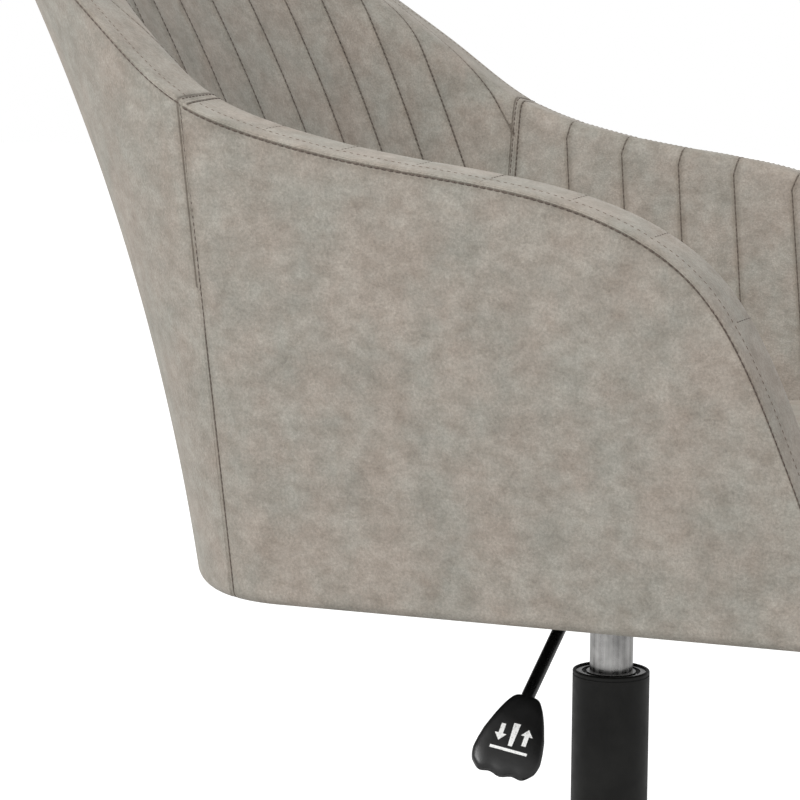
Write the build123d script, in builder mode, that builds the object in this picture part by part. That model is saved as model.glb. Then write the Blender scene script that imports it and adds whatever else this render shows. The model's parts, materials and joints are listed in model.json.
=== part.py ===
"""Swivel tub chair on a gas lift: five-arm base, casters, gas lift, lever, seat plate and upholstered tub.

Frame: origin on the floor under the column's axis, +Z up, the sitter faces -Y, the lever is on the -X side.
All sizes are in millimetres.
"""
from build123d import *
import math
import os

os.makedirs("parts", exist_ok=True)

# --- column and gas spring ------------------------------------------------------------------------------
TUBE_D = 50.0
TUBE_WALL = 2.0
TUBE_BOTTOM_Z = 62.0
TUBE_TOP_Z = 290.0
TUBE_FLOOR = 3.0
CYLINDER_D = 28.0
CYLINDER_BORE = 24.0
CYLINDER_BOTTOM_Z = 98.5
CYLINDER_TOP_Z = 348.0
ROD_D = 10.0
PISTON_Z = 216.0
PISTON_H = 12.0
PIN_D = 6.0
RUNNING_GAP = 0.05      # radial clearance of a running fit

# --- bearing at the foot of the rod ---------------------------------------------------------------------
WASHER_D = 34.0
WASHER_H = 2.0
BALL_D = 3.8
BALL_COUNT = 10
BALL_RING_R = 12.0
BEARING_Z = TUBE_BOTTOM_Z + TUBE_FLOOR
BALL_Z = BEARING_Z + WASHER_H + 2.0

# --- base and casters -----------------------------------------------------------------------------------
ARM_COUNT = 5
FIRST_ARM_DEG = -90.0
STEM_RING_R = 272.0     # from the column's axis to each caster stem
HUB_D = 76.0
HUB_BOTTOM_Z = 57.0
HUB_TOP_Z = 132.0
SOCKET_BOTTOM_Z = 61.2
SOCKET_TOP_Z = 92.0
STEM_D = 11.0
WHEEL_D = 50.0
WHEEL_W = 17.0
WHEEL_BORE = 6.2
AXLE_D = 6.0
TRAIL = 19.0            # from stem axis to axle
HOOD_CORE_W = 13.0
CASTER_TURNS = (20.0, 150.0, -60.0, 95.0, -140.0)

# --- lever ----------------------------------------------------------------------------------------------
LEVER_D = 8.0
LEVER_Z = 358.0
LEVER_PIVOT_X = -60.0
LEVER_INNER_X = 14.0
LEVER_BEND_X = -68.0
LEVER_SLOPE_DEG = 26.5
PADDLE_SLOPE_DEG = 47.0
LEVER_RUN = 110.0       # along the sloping part, to the paddle's bend
PADDLE_L = 62.0
PADDLE_NECK_W = 17.0
PADDLE_END_W = 40.0
PADDLE_T = 10.0

# --- seat plate and board -------------------------------------------------------------------------------
SHEET = 2.5
BOX_X = 120.0
BOX_Y = 72.0
BOX_BOTTOM_Z = 333.0
BOARD_Z = 374.0
BOARD_T = 15.0
BOLT_X = 150.0
BOLT_Y = 120.0
BOLT_D = 8.0

# --- tub: half-ellipse at the back, straight arms, wider toward the top ---------------------------------------
TUB_BOTTOM_Z = 370.0
SECTION_Z = (370.0, 520.0, 670.0, 830.0)
FLARE_H = 280.0
HALF_W = (248.6, 53.0)          # half width at the bottom, growth per FLARE_H
BACK_Y = (245.5, 31.8, 48.3)    # back's middle: bottom value, linear and square growth per FLARE_H
JOIN_Y = (123.8, 9.7)          # where the straight arm meets the ellipse
RIM = ((-202, 370), (-188, 436), (-176, 472), (-155, 525), (-130, 563), (-80, 597), (-20, 615), (40, 625),
       (120, 643), (160, 659), (210, 698), (270, 747), (340, 796), (390, 813), (440, 818))
COVER_T = 8.0
FRAME_T = 12.0
WALL_T = 48.0
BAND_T = 16.0
GLUE = 0.3              # between the wall's layers
FRAME_FRONT_Y = -174.0  # the plywood stops short of the arms' soft front tips
BOARD_FRONT_Y = -180.0
SEAM_Y = 157.0
DUST_Z = 370.3
DUST_T = 0.8
CUSHION_BOTTOM_Z = 391.0
CUSHION_TOP_Z = 436.0
CUSHION_FRONT_Y = -212.0
PROFILE_HALF_W = 400.0          # the trimming profile reaches past the tub on every side
PROFILE_BACK_Y = 560.0
PROFILE_LOW_Z = 330.0


def polar(radius, degrees, z=0.0):
    """A point at a radius and an angle about the column's axis."""
    angle = math.radians(degrees)
    return Vector(radius * math.cos(angle), radius * math.sin(angle), z)


def tub_size(z):
    """Half width, back's Y and join's Y of the tub's outer surface at height z."""
    rise = (z - TUB_BOTTOM_Z) / FLARE_H
    half_w = HALF_W[0] + HALF_W[1] * rise
    back_y = BACK_Y[0] + BACK_Y[1] * rise + BACK_Y[2] * rise**2
    join_y = JOIN_Y[0] + JOIN_Y[1] * rise
    return half_w, back_y, join_y


def tub_section(z, inset, front_y=-260.0):
    """The tub's plan at height z, inset from its outer surface: straight arms and a half-ellipse back."""
    half_w, back_y, join_y = tub_size(z)
    half_w = half_w - inset
    with BuildSketch(Plane.XY.offset(z)) as section:
        with BuildLine():
            EllipticalCenterArc((0, join_y), half_w, back_y - inset - join_y, start_angle=0, arc_size=180)
            Polyline((-half_w, join_y), (-half_w, front_y), (half_w, front_y), (half_w, join_y))
        make_face()
    return section.sketch


def tub_block(inset, bottom_z=TUB_BOTTOM_Z):
    """A solid with the tub's flared outer shape, inset on all sides."""
    heights = [bottom_z] + [z for z in SECTION_Z if z > bottom_z]
    with BuildPart() as block:
        loft([tub_section(z, inset) for z in heights])
    return block.part


def rim_line(shrink):
    """The rim's points, each moved inward, square to the line, by a thickness."""
    points = []
    for index, (y, z) in enumerate(RIM):
        before = Vector(*RIM[max(index - 1, 0)])
        after = Vector(*RIM[min(index + 1, len(RIM) - 1)])
        run = (after - before).normalized()
        points.append((y + shrink * run.Y, z - shrink * run.X))
    return points


def side_profile(shrink):
    """Everything under the rim's line, as a solid right across the tub, lowered by a thickness."""
    line = rim_line(shrink)
    with BuildPart() as profile:
        with BuildSketch(Plane.YZ.offset(-PROFILE_HALF_W)):
            with BuildLine():
                Spline(*line)
                Polyline(line[-1], (PROFILE_BACK_Y, line[-1][1]), (PROFILE_BACK_Y, PROFILE_LOW_Z),
                         (line[0][0], PROFILE_LOW_Z), line[0])
            make_face()
        extrude(amount=2 * PROFILE_HALF_W)
    return profile.part


def wall(outer_inset, inner_inset, under, bottom_z=TUB_BOTTOM_Z):
    """One layer of the tub's wall between two insets, trimmed by a profile."""
    layer = tub_block(outer_inset, bottom_z) - tub_block(inner_inset, bottom_z)
    return layer & under


def back_part(layer):
    """The stretch of a wall layer behind the seams."""
    with BuildPart() as piece:
        add(layer)
        split(bisect_by=Plane.XZ.offset(-SEAM_Y), keep=Keep.BOTTOM)
    return piece


def arm_part(layer, side):
    """The stretch of a wall layer in front of the seam, on one side of the chair."""
    keep = Keep.TOP if side > 0 else Keep.BOTTOM
    with BuildPart() as piece:
        add(layer)
        split(bisect_by=Plane.XZ.offset(-SEAM_Y), keep=Keep.TOP)
        split(bisect_by=Plane.YZ, keep=keep)
    return piece


# ======================================================================= base
hub_r = HUB_D / 2

with BuildPart() as star_base:
    with BuildSketch(Plane.XY.offset(HUB_BOTTOM_Z)):
        Circle(hub_r)
    extrude(amount=HUB_TOP_Z - HUB_BOTTOM_Z, taper=3)
    fillet(star_base.edges().group_by(Axis.Z)[-1], 5)
    for number in range(ARM_COUNT):
        degrees = FIRST_ARM_DEG + number * 360 / ARM_COUNT
        root = Plane(origin=polar(20, degrees, 94), x_dir=polar(1, degrees + 90), z_dir=polar(1, degrees))
        tip = Plane(origin=polar(STEM_RING_R, degrees, 78), x_dir=polar(1, degrees + 90), z_dir=polar(1, degrees))
        with BuildSketch(root) as root_section:
            Trapezoid(58, 66, 84)
            fillet(root_section.vertices().group_by(Axis.Z)[-1], 10)
        with BuildSketch(tip) as tip_section:
            Trapezoid(30, 27, 84)
            fillet(tip_section.vertices().group_by(Axis.Z)[-1], 8)
        loft()
        with BuildSketch(Plane(origin=polar(STEM_RING_R, degrees, SOCKET_BOTTOM_Z))):
            Circle(15)
        extrude(amount=SOCKET_TOP_Z - SOCKET_BOTTOM_Z, taper=2)
        # the arm is a channel, open below, with a rib across its middle
        inner_root = Plane(origin=polar(44, degrees, 84), x_dir=polar(1, degrees + 90), z_dir=polar(1, degrees))
        inner_tip = Plane(origin=polar(251, degrees, 70), x_dir=polar(1, degrees + 90), z_dir=polar(1, degrees))
        with BuildSketch(inner_root):
            Trapezoid(46, 66, 86)
        with BuildSketch(inner_tip):
            Trapezoid(23, 27, 86)
        loft(mode=Mode.SUBTRACT)
        for rib_r in (95, 150, 205):
            rib_h = 38 - 0.1 * rib_r
            rib = Plane(origin=polar(rib_r, degrees, 101 - 0.075 * rib_r), x_dir=polar(1, degrees + 90),
                        z_dir=polar(1, degrees))
            with BuildSketch(rib):
                Rectangle(46 - 0.09 * rib_r, rib_h)
            extrude(amount=1.5, both=True)
    with BuildSketch(Plane.XY.offset(HUB_BOTTOM_Z - 1)):
        Circle(TUBE_D / 2)
    extrude(amount=HUB_TOP_Z - HUB_BOTTOM_Z + 2, mode=Mode.SUBTRACT)
    for number in range(ARM_COUNT):
        degrees = FIRST_ARM_DEG + number * 360 / ARM_COUNT
        with BuildSketch(Plane(origin=polar(STEM_RING_R, degrees, SOCKET_BOTTOM_Z - 5))):
            Circle(STEM_D / 2 + RUNNING_GAP)
        extrude(amount=5 + 26, mode=Mode.SUBTRACT)
star_base.part.label = "star_base"
export_step(star_base.part, "parts/star_base.step")

with BuildPart() as column_tube:
    with BuildSketch(Plane.XY.offset(TUBE_BOTTOM_Z)):
        Circle(TUBE_D / 2)
    extrude(amount=TUBE_TOP_Z - TUBE_BOTTOM_Z)
    fillet(column_tube.edges().group_by(Axis.Z)[-1], 1.2)
    with BuildSketch(Plane.XY.offset(TUBE_BOTTOM_Z + TUBE_FLOOR)):
        Circle(TUBE_D / 2 - TUBE_WALL)
    extrude(amount=TUBE_TOP_Z, mode=Mode.SUBTRACT)
    with BuildSketch(Plane.XY.offset(TUBE_BOTTOM_Z)):
        Circle(8)
    extrude(amount=TUBE_FLOOR, mode=Mode.SUBTRACT)
    with BuildSketch(Plane.XY.offset(TUBE_TOP_Z - 3.2)):
        Circle(TUBE_D / 2)
        Circle(TUBE_D / 2 - 0.5, mode=Mode.SUBTRACT)
    extrude(amount=0.8, mode=Mode.SUBTRACT)
column_tube.part.label = "column_tube"
export_step(column_tube.part, "parts/column_tube.step")

with BuildPart() as tube_bushing:
    with BuildSketch(Plane.XY.offset(TUBE_TOP_Z - 76)):
        Circle(TUBE_D / 2 - TUBE_WALL)
        Circle(CYLINDER_D / 2 + RUNNING_GAP, mode=Mode.SUBTRACT)
    extrude(amount=75)
    with BuildSketch(Plane.XY.offset(TUBE_TOP_Z - 3)):
        Circle(19)
        Circle(CYLINDER_D / 2 + 2, mode=Mode.SUBTRACT)
    extrude(amount=3, mode=Mode.SUBTRACT)
tube_bushing.part.label = "tube_bushing"
export_step(tube_bushing.part, "parts/tube_bushing.step")

# ======================================================================= thrust bearing and rod
with BuildPart() as thrust_washer_lower:
    with BuildSketch(Plane.XY.offset(BEARING_Z)):
        Circle(WASHER_D / 2)
        Circle(8, mode=Mode.SUBTRACT)
    extrude(amount=WASHER_H)
thrust_washer_lower.part.label = "thrust_washer_lower"
export_step(thrust_washer_lower.part, "parts/thrust_washer_lower.step")

with BuildPart() as ball_cage:
    with BuildSketch(Plane.XY.offset(BALL_Z - 1.1)):
        Circle(WASHER_D / 2 - 1)
        Circle(8, mode=Mode.SUBTRACT)
        with PolarLocations(BALL_RING_R, BALL_COUNT):
            Circle(BALL_D / 2 + 0.1, mode=Mode.SUBTRACT)
    extrude(amount=2.2)
ball_cage.part.label = "ball_cage"
export_step(ball_cage.part, "parts/ball_cage.step")

with BuildPart() as bearing_balls:
    with Locations((0, 0, BALL_Z)):
        with PolarLocations(BALL_RING_R, BALL_COUNT):
            Sphere(BALL_D / 2)
bearing_balls.part.label = "bearing_balls"
export_step(bearing_balls.part, "parts/bearing_balls.step")

UPPER_WASHER_Z = BEARING_Z + WASHER_H + 4.0
with BuildPart() as thrust_washer_upper:
    with BuildSketch(Plane.XY.offset(UPPER_WASHER_Z)):
        Circle(WASHER_D / 2)
        Circle(ROD_D / 2, mode=Mode.SUBTRACT)
    extrude(amount=WASHER_H)
thrust_washer_upper.part.label = "thrust_washer_upper"
export_step(thrust_washer_upper.part, "parts/thrust_washer_upper.step")

CLIP_Z = 59.9
CLIP_H = 1.6
with BuildPart() as piston_rod:
    with BuildSketch(Plane.XY.offset(CLIP_Z - 1.4)):
        Circle(ROD_D / 2)
    extrude(amount=PISTON_Z - CLIP_Z + 1.4)
    with BuildSketch(Plane.XY.offset(CLIP_Z)):
        Circle(ROD_D / 2)
        Circle(ROD_D / 2 - 0.8, mode=Mode.SUBTRACT)
    extrude(amount=CLIP_H, mode=Mode.SUBTRACT)
    with BuildSketch(Plane.XY.offset(PISTON_Z)):
        Circle(CYLINDER_BORE / 2 - RUNNING_GAP)
    extrude(amount=PISTON_H)
piston_rod.part.label = "piston_rod"
export_step(piston_rod.part, "parts/piston_rod.step")

with BuildPart() as rod_clip:
    with BuildSketch(Plane.XY.offset(CLIP_Z)):
        Circle(11)
        Circle(ROD_D / 2 - 0.8, mode=Mode.SUBTRACT)
        with Locations((8, 0)):
            Rectangle(12, 7, mode=Mode.SUBTRACT)
    extrude(amount=CLIP_H)
rod_clip.part.label = "rod_clip"
export_step(rod_clip.part, "parts/rod_clip.step")

with BuildPart() as rubber_buffer:
    with BuildSketch(Plane.XY.offset(UPPER_WASHER_Z + WASHER_H)):
        Circle(14.5)
        Circle(ROD_D / 2, mode=Mode.SUBTRACT)
    extrude(amount=CYLINDER_BOTTOM_Z - 0.3 - UPPER_WASHER_Z - WASHER_H)
    chamfer(rubber_buffer.edges().group_by(Axis.Z)[-1].sort_by(SortBy.RADIUS)[-1], 2.5)
rubber_buffer.part.label = "rubber_buffer"
export_step(rubber_buffer.part, "parts/rubber_buffer.step")

# ======================================================================= gas cylinder and its valve pin
CONE_BOTTOM_Z = 314.0
CONE_DROP = 0.9         # the cone's radius is this much smaller at its top
cylinder_r = CYLINDER_D / 2
with BuildPart() as gas_cylinder:
    with BuildSketch(Plane.XZ):
        with BuildLine():
            Polyline((0, CYLINDER_BOTTOM_Z), (cylinder_r - 1, CYLINDER_BOTTOM_Z),
                     (cylinder_r, CYLINDER_BOTTOM_Z + 1), (cylinder_r, CONE_BOTTOM_Z),
                     (cylinder_r - CONE_DROP, CYLINDER_TOP_Z), (0, CYLINDER_TOP_Z), close=True)
        make_face()
    revolve(axis=Axis.Z)
    with BuildSketch(Plane.XY.offset(CYLINDER_BOTTOM_Z + 12)):
        Circle(CYLINDER_BORE / 2)
    extrude(amount=207, mode=Mode.SUBTRACT)
    with BuildSketch(Plane.XY.offset(CYLINDER_BOTTOM_Z)):
        Circle(ROD_D / 2 + RUNNING_GAP)
    extrude(amount=12, mode=Mode.SUBTRACT)
    with BuildSketch(Plane.XY.offset(CONE_BOTTOM_Z)):
        Circle(PIN_D / 2 + RUNNING_GAP)
    extrude(amount=40, mode=Mode.SUBTRACT)
gas_cylinder.part.label = "gas_cylinder"
export_step(gas_cylinder.part, "parts/gas_cylinder.step")

PIN_TOP_Z = LEVER_Z - LEVER_D / 2 - 0.3
with BuildPart() as release_pin:
    with BuildSketch(Plane.XY.offset(CONE_BOTTOM_Z)):
        Circle(PIN_D / 2)
    extrude(amount=PIN_TOP_Z - CONE_BOTTOM_Z)
    fillet(release_pin.edges().group_by(Axis.Z)[-1], 0.8)
release_pin.part.label = "release_pin"
export_step(release_pin.part, "parts/release_pin.step")

# ======================================================================= seat plate
SOCKET_TOP = 345.0
SOCKET_FOOT = BOX_BOTTOM_Z - 1.0
SOCKET_R = 19.0


def cone_radius(z):
    """The radius of the cylinder's cone at height z."""
    return cylinder_r - CONE_DROP * (z - CONE_BOTTOM_Z) / (CYLINDER_TOP_Z - CONE_BOTTOM_Z)


with BuildPart() as taper_socket:
    with BuildSketch(Plane.XZ):
        with BuildLine():
            Polyline((cone_radius(SOCKET_FOOT), SOCKET_FOOT), (SOCKET_R, SOCKET_FOOT), (SOCKET_R, SOCKET_TOP),
                     (cone_radius(SOCKET_TOP), SOCKET_TOP), close=True)
        make_face()
    revolve(axis=Axis.Z)
taper_socket.part.label = "taper_socket"
export_step(taper_socket.part, "parts/taper_socket.step")

BUSH_R = 7.0
with BuildPart() as mount_plate:
    with BuildSketch(Plane.XY.offset(BOARD_Z - SHEET)):
        RectangleRounded(BOLT_X + 30, BOLT_Y + 30, 14)
        with GridLocations(BOLT_X, BOLT_Y, 2, 2):
            Circle(BOLT_D / 2 + 0.5, mode=Mode.SUBTRACT)
    extrude(amount=SHEET)
    with BuildSketch(Plane.XY.offset(BOX_BOTTOM_Z)):
        RectangleRounded(BOX_X, BOX_Y, 8)
    extrude(amount=BOARD_Z - SHEET - BOX_BOTTOM_Z)
    with BuildSketch(Plane.XY.offset(BOX_BOTTOM_Z + SHEET)):
        RectangleRounded(BOX_X - 2 * SHEET, BOX_Y - 2 * SHEET, 6)
    extrude(amount=BOARD_Z, mode=Mode.SUBTRACT)
    with BuildSketch(Plane.XY.offset(BOX_BOTTOM_Z - 1)):
        Circle(SOCKET_R)
    extrude(amount=SHEET + 2, mode=Mode.SUBTRACT)
    with BuildSketch(Plane.YZ.offset(-BOX_X / 2 - 1)):
        with Locations((0, LEVER_Z)):
            Circle(BUSH_R)
    extrude(amount=SHEET + 2, mode=Mode.SUBTRACT)
mount_plate.part.label = "mount_plate"
export_step(mount_plate.part, "parts/mount_plate.step")

WASHER_BELOW_H = 1.6
WASHER_R = 9.0
HEAD_H = 5.5
HEAD_R = 6.5
TEE_BARREL_R = 5.5
TEE_FLANGE_R = 11.0
TEE_FLANGE_H = 1.5
TEE_BARREL_GAP = 4.0     # the barrel stops short of the board's underside
with BuildPart() as plate_washers:
    with BuildSketch(Plane.XY.offset(BOARD_Z - SHEET - WASHER_BELOW_H)):
        with GridLocations(BOLT_X, BOLT_Y, 2, 2):
            Circle(WASHER_R)
            Circle(BOLT_D / 2 + 0.2, mode=Mode.SUBTRACT)
    extrude(amount=WASHER_BELOW_H)
plate_washers.part.label = "plate_washers"
export_step(plate_washers.part, "parts/plate_washers.step")

with BuildPart() as plate_bolts:
    head_z = BOARD_Z - SHEET - WASHER_BELOW_H - HEAD_H
    with BuildSketch(Plane.XY.offset(head_z)):
        with GridLocations(BOLT_X, BOLT_Y, 2, 2):
            RegularPolygon(HEAD_R, 6, major_radius=False)
    extrude(amount=HEAD_H)
    with BuildSketch(Plane.XY.offset(head_z)):
        with GridLocations(BOLT_X, BOLT_Y, 2, 2):
            Circle(BOLT_D / 2)
    extrude(amount=HEAD_H + WASHER_BELOW_H + SHEET + BOARD_T - 1)
plate_bolts.part.label = "plate_bolts"
export_step(plate_bolts.part, "parts/plate_bolts.step")

with BuildPart() as tee_nuts:
    with BuildSketch(Plane.XY.offset(BOARD_Z + TEE_BARREL_GAP)):
        with GridLocations(BOLT_X, BOLT_Y, 2, 2):
            Circle(TEE_BARREL_R)
            Circle(BOLT_D / 2, mode=Mode.SUBTRACT)
    extrude(amount=BOARD_T - TEE_BARREL_GAP)
    with BuildSketch(Plane.XY.offset(BOARD_Z + BOARD_T)):
        with GridLocations(BOLT_X, BOLT_Y, 2, 2):
            Circle(TEE_FLANGE_R)
            Circle(BOLT_D / 2, mode=Mode.SUBTRACT)
    extrude(amount=TEE_FLANGE_H)
tee_nuts.part.label = "tee_nuts"
export_step(tee_nuts.part, "parts/tee_nuts.step")

# ======================================================================= lever
with BuildPart() as lever_bush:
    with BuildSketch(Plane.YZ.offset(-BOX_X / 2 - 3)):
        with Locations((0, LEVER_Z)):
            Circle(BUSH_R + 3)
    extrude(amount=3)
    with BuildSketch(Plane.YZ.offset(-BOX_X / 2)):
        with Locations((0, LEVER_Z)):
            Circle(BUSH_R)
    extrude(amount=5)
    with BuildSketch(Plane.YZ.offset(-BOX_X / 2 - 3)):
        with Locations((0, LEVER_Z)):
            Circle(LEVER_D / 2 + 0.9)
    extrude(amount=8, mode=Mode.SUBTRACT)
lever_bush.part.label = "lever_bush"
export_step(lever_bush.part, "parts/lever_bush.step")


def along(point, length, slope_deg):
    """The point a length away toward -X and down, at a slope."""
    slope = math.radians(slope_deg)
    return Vector(point.X - length * math.cos(slope), 0, point.Z - length * math.sin(slope))


bend = Vector(LEVER_BEND_X, 0, LEVER_Z)
knee = along(bend, LEVER_RUN, LEVER_SLOPE_DEG)
rod_end = along(knee, 26, PADDLE_SLOPE_DEG)
with BuildPart() as lever_rod:
    with BuildLine():
        FilletPolyline((LEVER_INNER_X, 0, LEVER_Z), bend, knee, rod_end, radius=(12, 16))
    with BuildSketch(Plane.YZ.offset(LEVER_INNER_X)):
        with Locations((0, LEVER_Z)):
            Circle(LEVER_D / 2)
    sweep()
    with BuildSketch(Plane.YZ.offset(LEVER_PIVOT_X + 6.5)):
        with Locations((0, LEVER_Z)):
            Circle(LEVER_D / 2 + 3)
    extrude(amount=2)
    # a small bead in the bush, which the lever rocks on
    with BuildSketch(Plane.XZ):
        with Locations((LEVER_PIVOT_X, LEVER_Z)):
            Circle(LEVER_D / 2 + 0.4)
    extrude(amount=1, both=True)
lever_rod.part.label = "lever_rod"
export_step(lever_rod.part, "parts/lever_rod.step")

neck = along(knee, 3, PADDLE_SLOPE_DEG)
down_slope = math.radians(PADDLE_SLOPE_DEG)
paddle_axis = Vector(-math.cos(down_slope), 0, -math.sin(down_slope))
paddle_face = Vector(-math.sin(down_slope), 0, math.cos(down_slope))
with BuildPart() as lever_handle:
    with BuildSketch(Plane(origin=neck, x_dir=paddle_axis, z_dir=paddle_face)):
        with BuildLine():
            Line((0, -PADDLE_NECK_W / 2), (0, PADDLE_NECK_W / 2))
            Line((0, PADDLE_NECK_W / 2), (PADDLE_L * 0.8, PADDLE_END_W / 2))
            Spline((PADDLE_L * 0.8, PADDLE_END_W / 2), (PADDLE_L * 0.95, PADDLE_END_W / 2 - 3), (PADDLE_L, 0),
                   (PADDLE_L * 0.95, -PADDLE_END_W / 2 + 3), (PADDLE_L * 0.8, -PADDLE_END_W / 2))
            Line((PADDLE_L * 0.8, -PADDLE_END_W / 2), (0, -PADDLE_NECK_W / 2))
        make_face()
    extrude(amount=PADDLE_T / 2, both=True)
    fillet(lever_handle.faces().sort_by(Axis(neck, paddle_face))[-1].edges(), 1.5)
    with BuildSketch(Plane(origin=neck, z_dir=paddle_axis)):
        Circle(LEVER_D / 2)
    extrude(amount=23, mode=Mode.SUBTRACT)
lever_handle.part.label = "lever_handle"
export_step(lever_handle.part, "parts/lever_handle.step")

# ======================================================================= seat board and tub
with BuildPart() as seat_board:
    add(tub_section(BOARD_Z, COVER_T + FRAME_T + 0.5, BOARD_FRONT_Y + GLUE))
    extrude(amount=BOARD_T)
    with BuildSketch(Plane.XY.offset(BOARD_Z)):
        with GridLocations(BOLT_X, BOLT_Y, 2, 2):
            Circle(TEE_BARREL_R)
    extrude(amount=BOARD_T, mode=Mode.SUBTRACT)
seat_board.part.label = "seat_board"
export_step(seat_board.part, "parts/seat_board.step")

wall_core = COVER_T + FRAME_T
under_band = side_profile(BAND_T + GLUE)
outer_wall = wall(0, COVER_T, under_band)
frame_wall = wall(COVER_T + GLUE, wall_core - GLUE, under_band, BOARD_Z)
# the channelled pads line the inside and roll over the rim down to the outer covers
core_space = wall(-2, wall_core, side_profile(BAND_T))
with BuildPart() as board_space:
    add(tub_section(BOARD_Z, wall_core, BOARD_FRONT_Y))
    extrude(amount=CUSHION_BOTTOM_Z - BOARD_Z, both=True)
pad_wall = wall(0, WALL_T, side_profile(0)) - core_space - board_space.part

with BuildPart() as tub_frame:
    add(frame_wall)
    with BuildSketch(Plane.XY.offset(PROFILE_LOW_Z)):
        with Locations((0, FRAME_FRONT_Y - PROFILE_HALF_W / 2)):
            Rectangle(2 * PROFILE_HALF_W, PROFILE_HALF_W)
    extrude(amount=SECTION_Z[-1] - PROFILE_LOW_Z, mode=Mode.SUBTRACT)
tub_frame.part.label = "tub_frame"
export_step(tub_frame.part, "parts/tub_frame.step")

outer_back_cover = back_part(outer_wall)
outer_back_cover.part.label = "outer_back_cover"
export_step(outer_back_cover.part, "parts/outer_back_cover.step")

inner_back_pad = back_part(pad_wall)
inner_back_pad.part.label = "inner_back_pad"
export_step(inner_back_pad.part, "parts/inner_back_pad.step")

for side, side_name in ((-1, "right"), (1, "left")):
    for layer, layer_name in ((outer_wall, "outer_arm_cover"), (pad_wall, "inner_arm_pad")):
        arm_layer = arm_part(layer, side)
        arm_layer.part.label = f"{layer_name}_{side_name}"
        export_step(arm_layer.part, f"parts/{layer_name}_{side_name}.step")

with BuildPart() as seat_cushion:
    loft([tub_section(z, WALL_T + 1, CUSHION_FRONT_Y) for z in (CUSHION_BOTTOM_Z, CUSHION_TOP_Z)])
    fillet(seat_cushion.faces().sort_by(Axis.Z)[-1].edges(), 12)
seat_cushion.part.label = "seat_cushion"
export_step(seat_cushion.part, "parts/seat_cushion.step")

front_half_w = HALF_W[0] - WALL_T - 1
with BuildPart() as front_border:
    with BuildSketch(Plane.XY.offset(TUB_BOTTOM_Z)):
        with Locations((0, (CUSHION_FRONT_Y + 4 + BOARD_FRONT_Y - GLUE) / 2)):
            Rectangle(2 * front_half_w, BOARD_FRONT_Y - GLUE - CUSHION_FRONT_Y - 4)
    extrude(amount=CUSHION_BOTTOM_Z - TUB_BOTTOM_Z)
front_border.part.label = "front_border"
export_step(front_border.part, "parts/front_border.step")

with BuildPart() as dust_cover:
    add(tub_section(DUST_Z, wall_core + 4, BOARD_FRONT_Y + 2))
    extrude(amount=DUST_T)
    with BuildSketch(Plane.XY.offset(DUST_Z)):
        RectangleRounded(BOLT_X + 32, BOLT_Y + 32, 15)
    extrude(amount=DUST_T, mode=Mode.SUBTRACT)
dust_cover.part.label = "dust_cover"
export_step(dust_cover.part, "parts/dust_cover.step")

# ======================================================================= casters
WHEEL_R = WHEEL_D / 2
HOOD_IN_R = WHEEL_R + 1.8
HOOD_OUT_R = HOOD_IN_R + 3.0
HOOD_W = HOOD_CORE_W + 2 * WHEEL_W + 2
BOSS_TOP_Z = 58.0
BOSS_R = 10.5
BOSS_FOOT_Z = 30.0
STEM_FOOT_Z = 36.0
STEM_L = 50.0
COLLAR_R = 8.0
COLLAR_H = 3.0
HOOD_LIP = 8.0          # how far the hood's core reaches below the axle
HUB_CAP_R = 8.0
RECESS_R = 19.0
RECESS_DEPTH = 4.0
WHEEL_SKIN = 2.5        # closed end of the axle's bore
WHEEL_GAP = 0.6         # between the hood's core and a wheel

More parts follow.
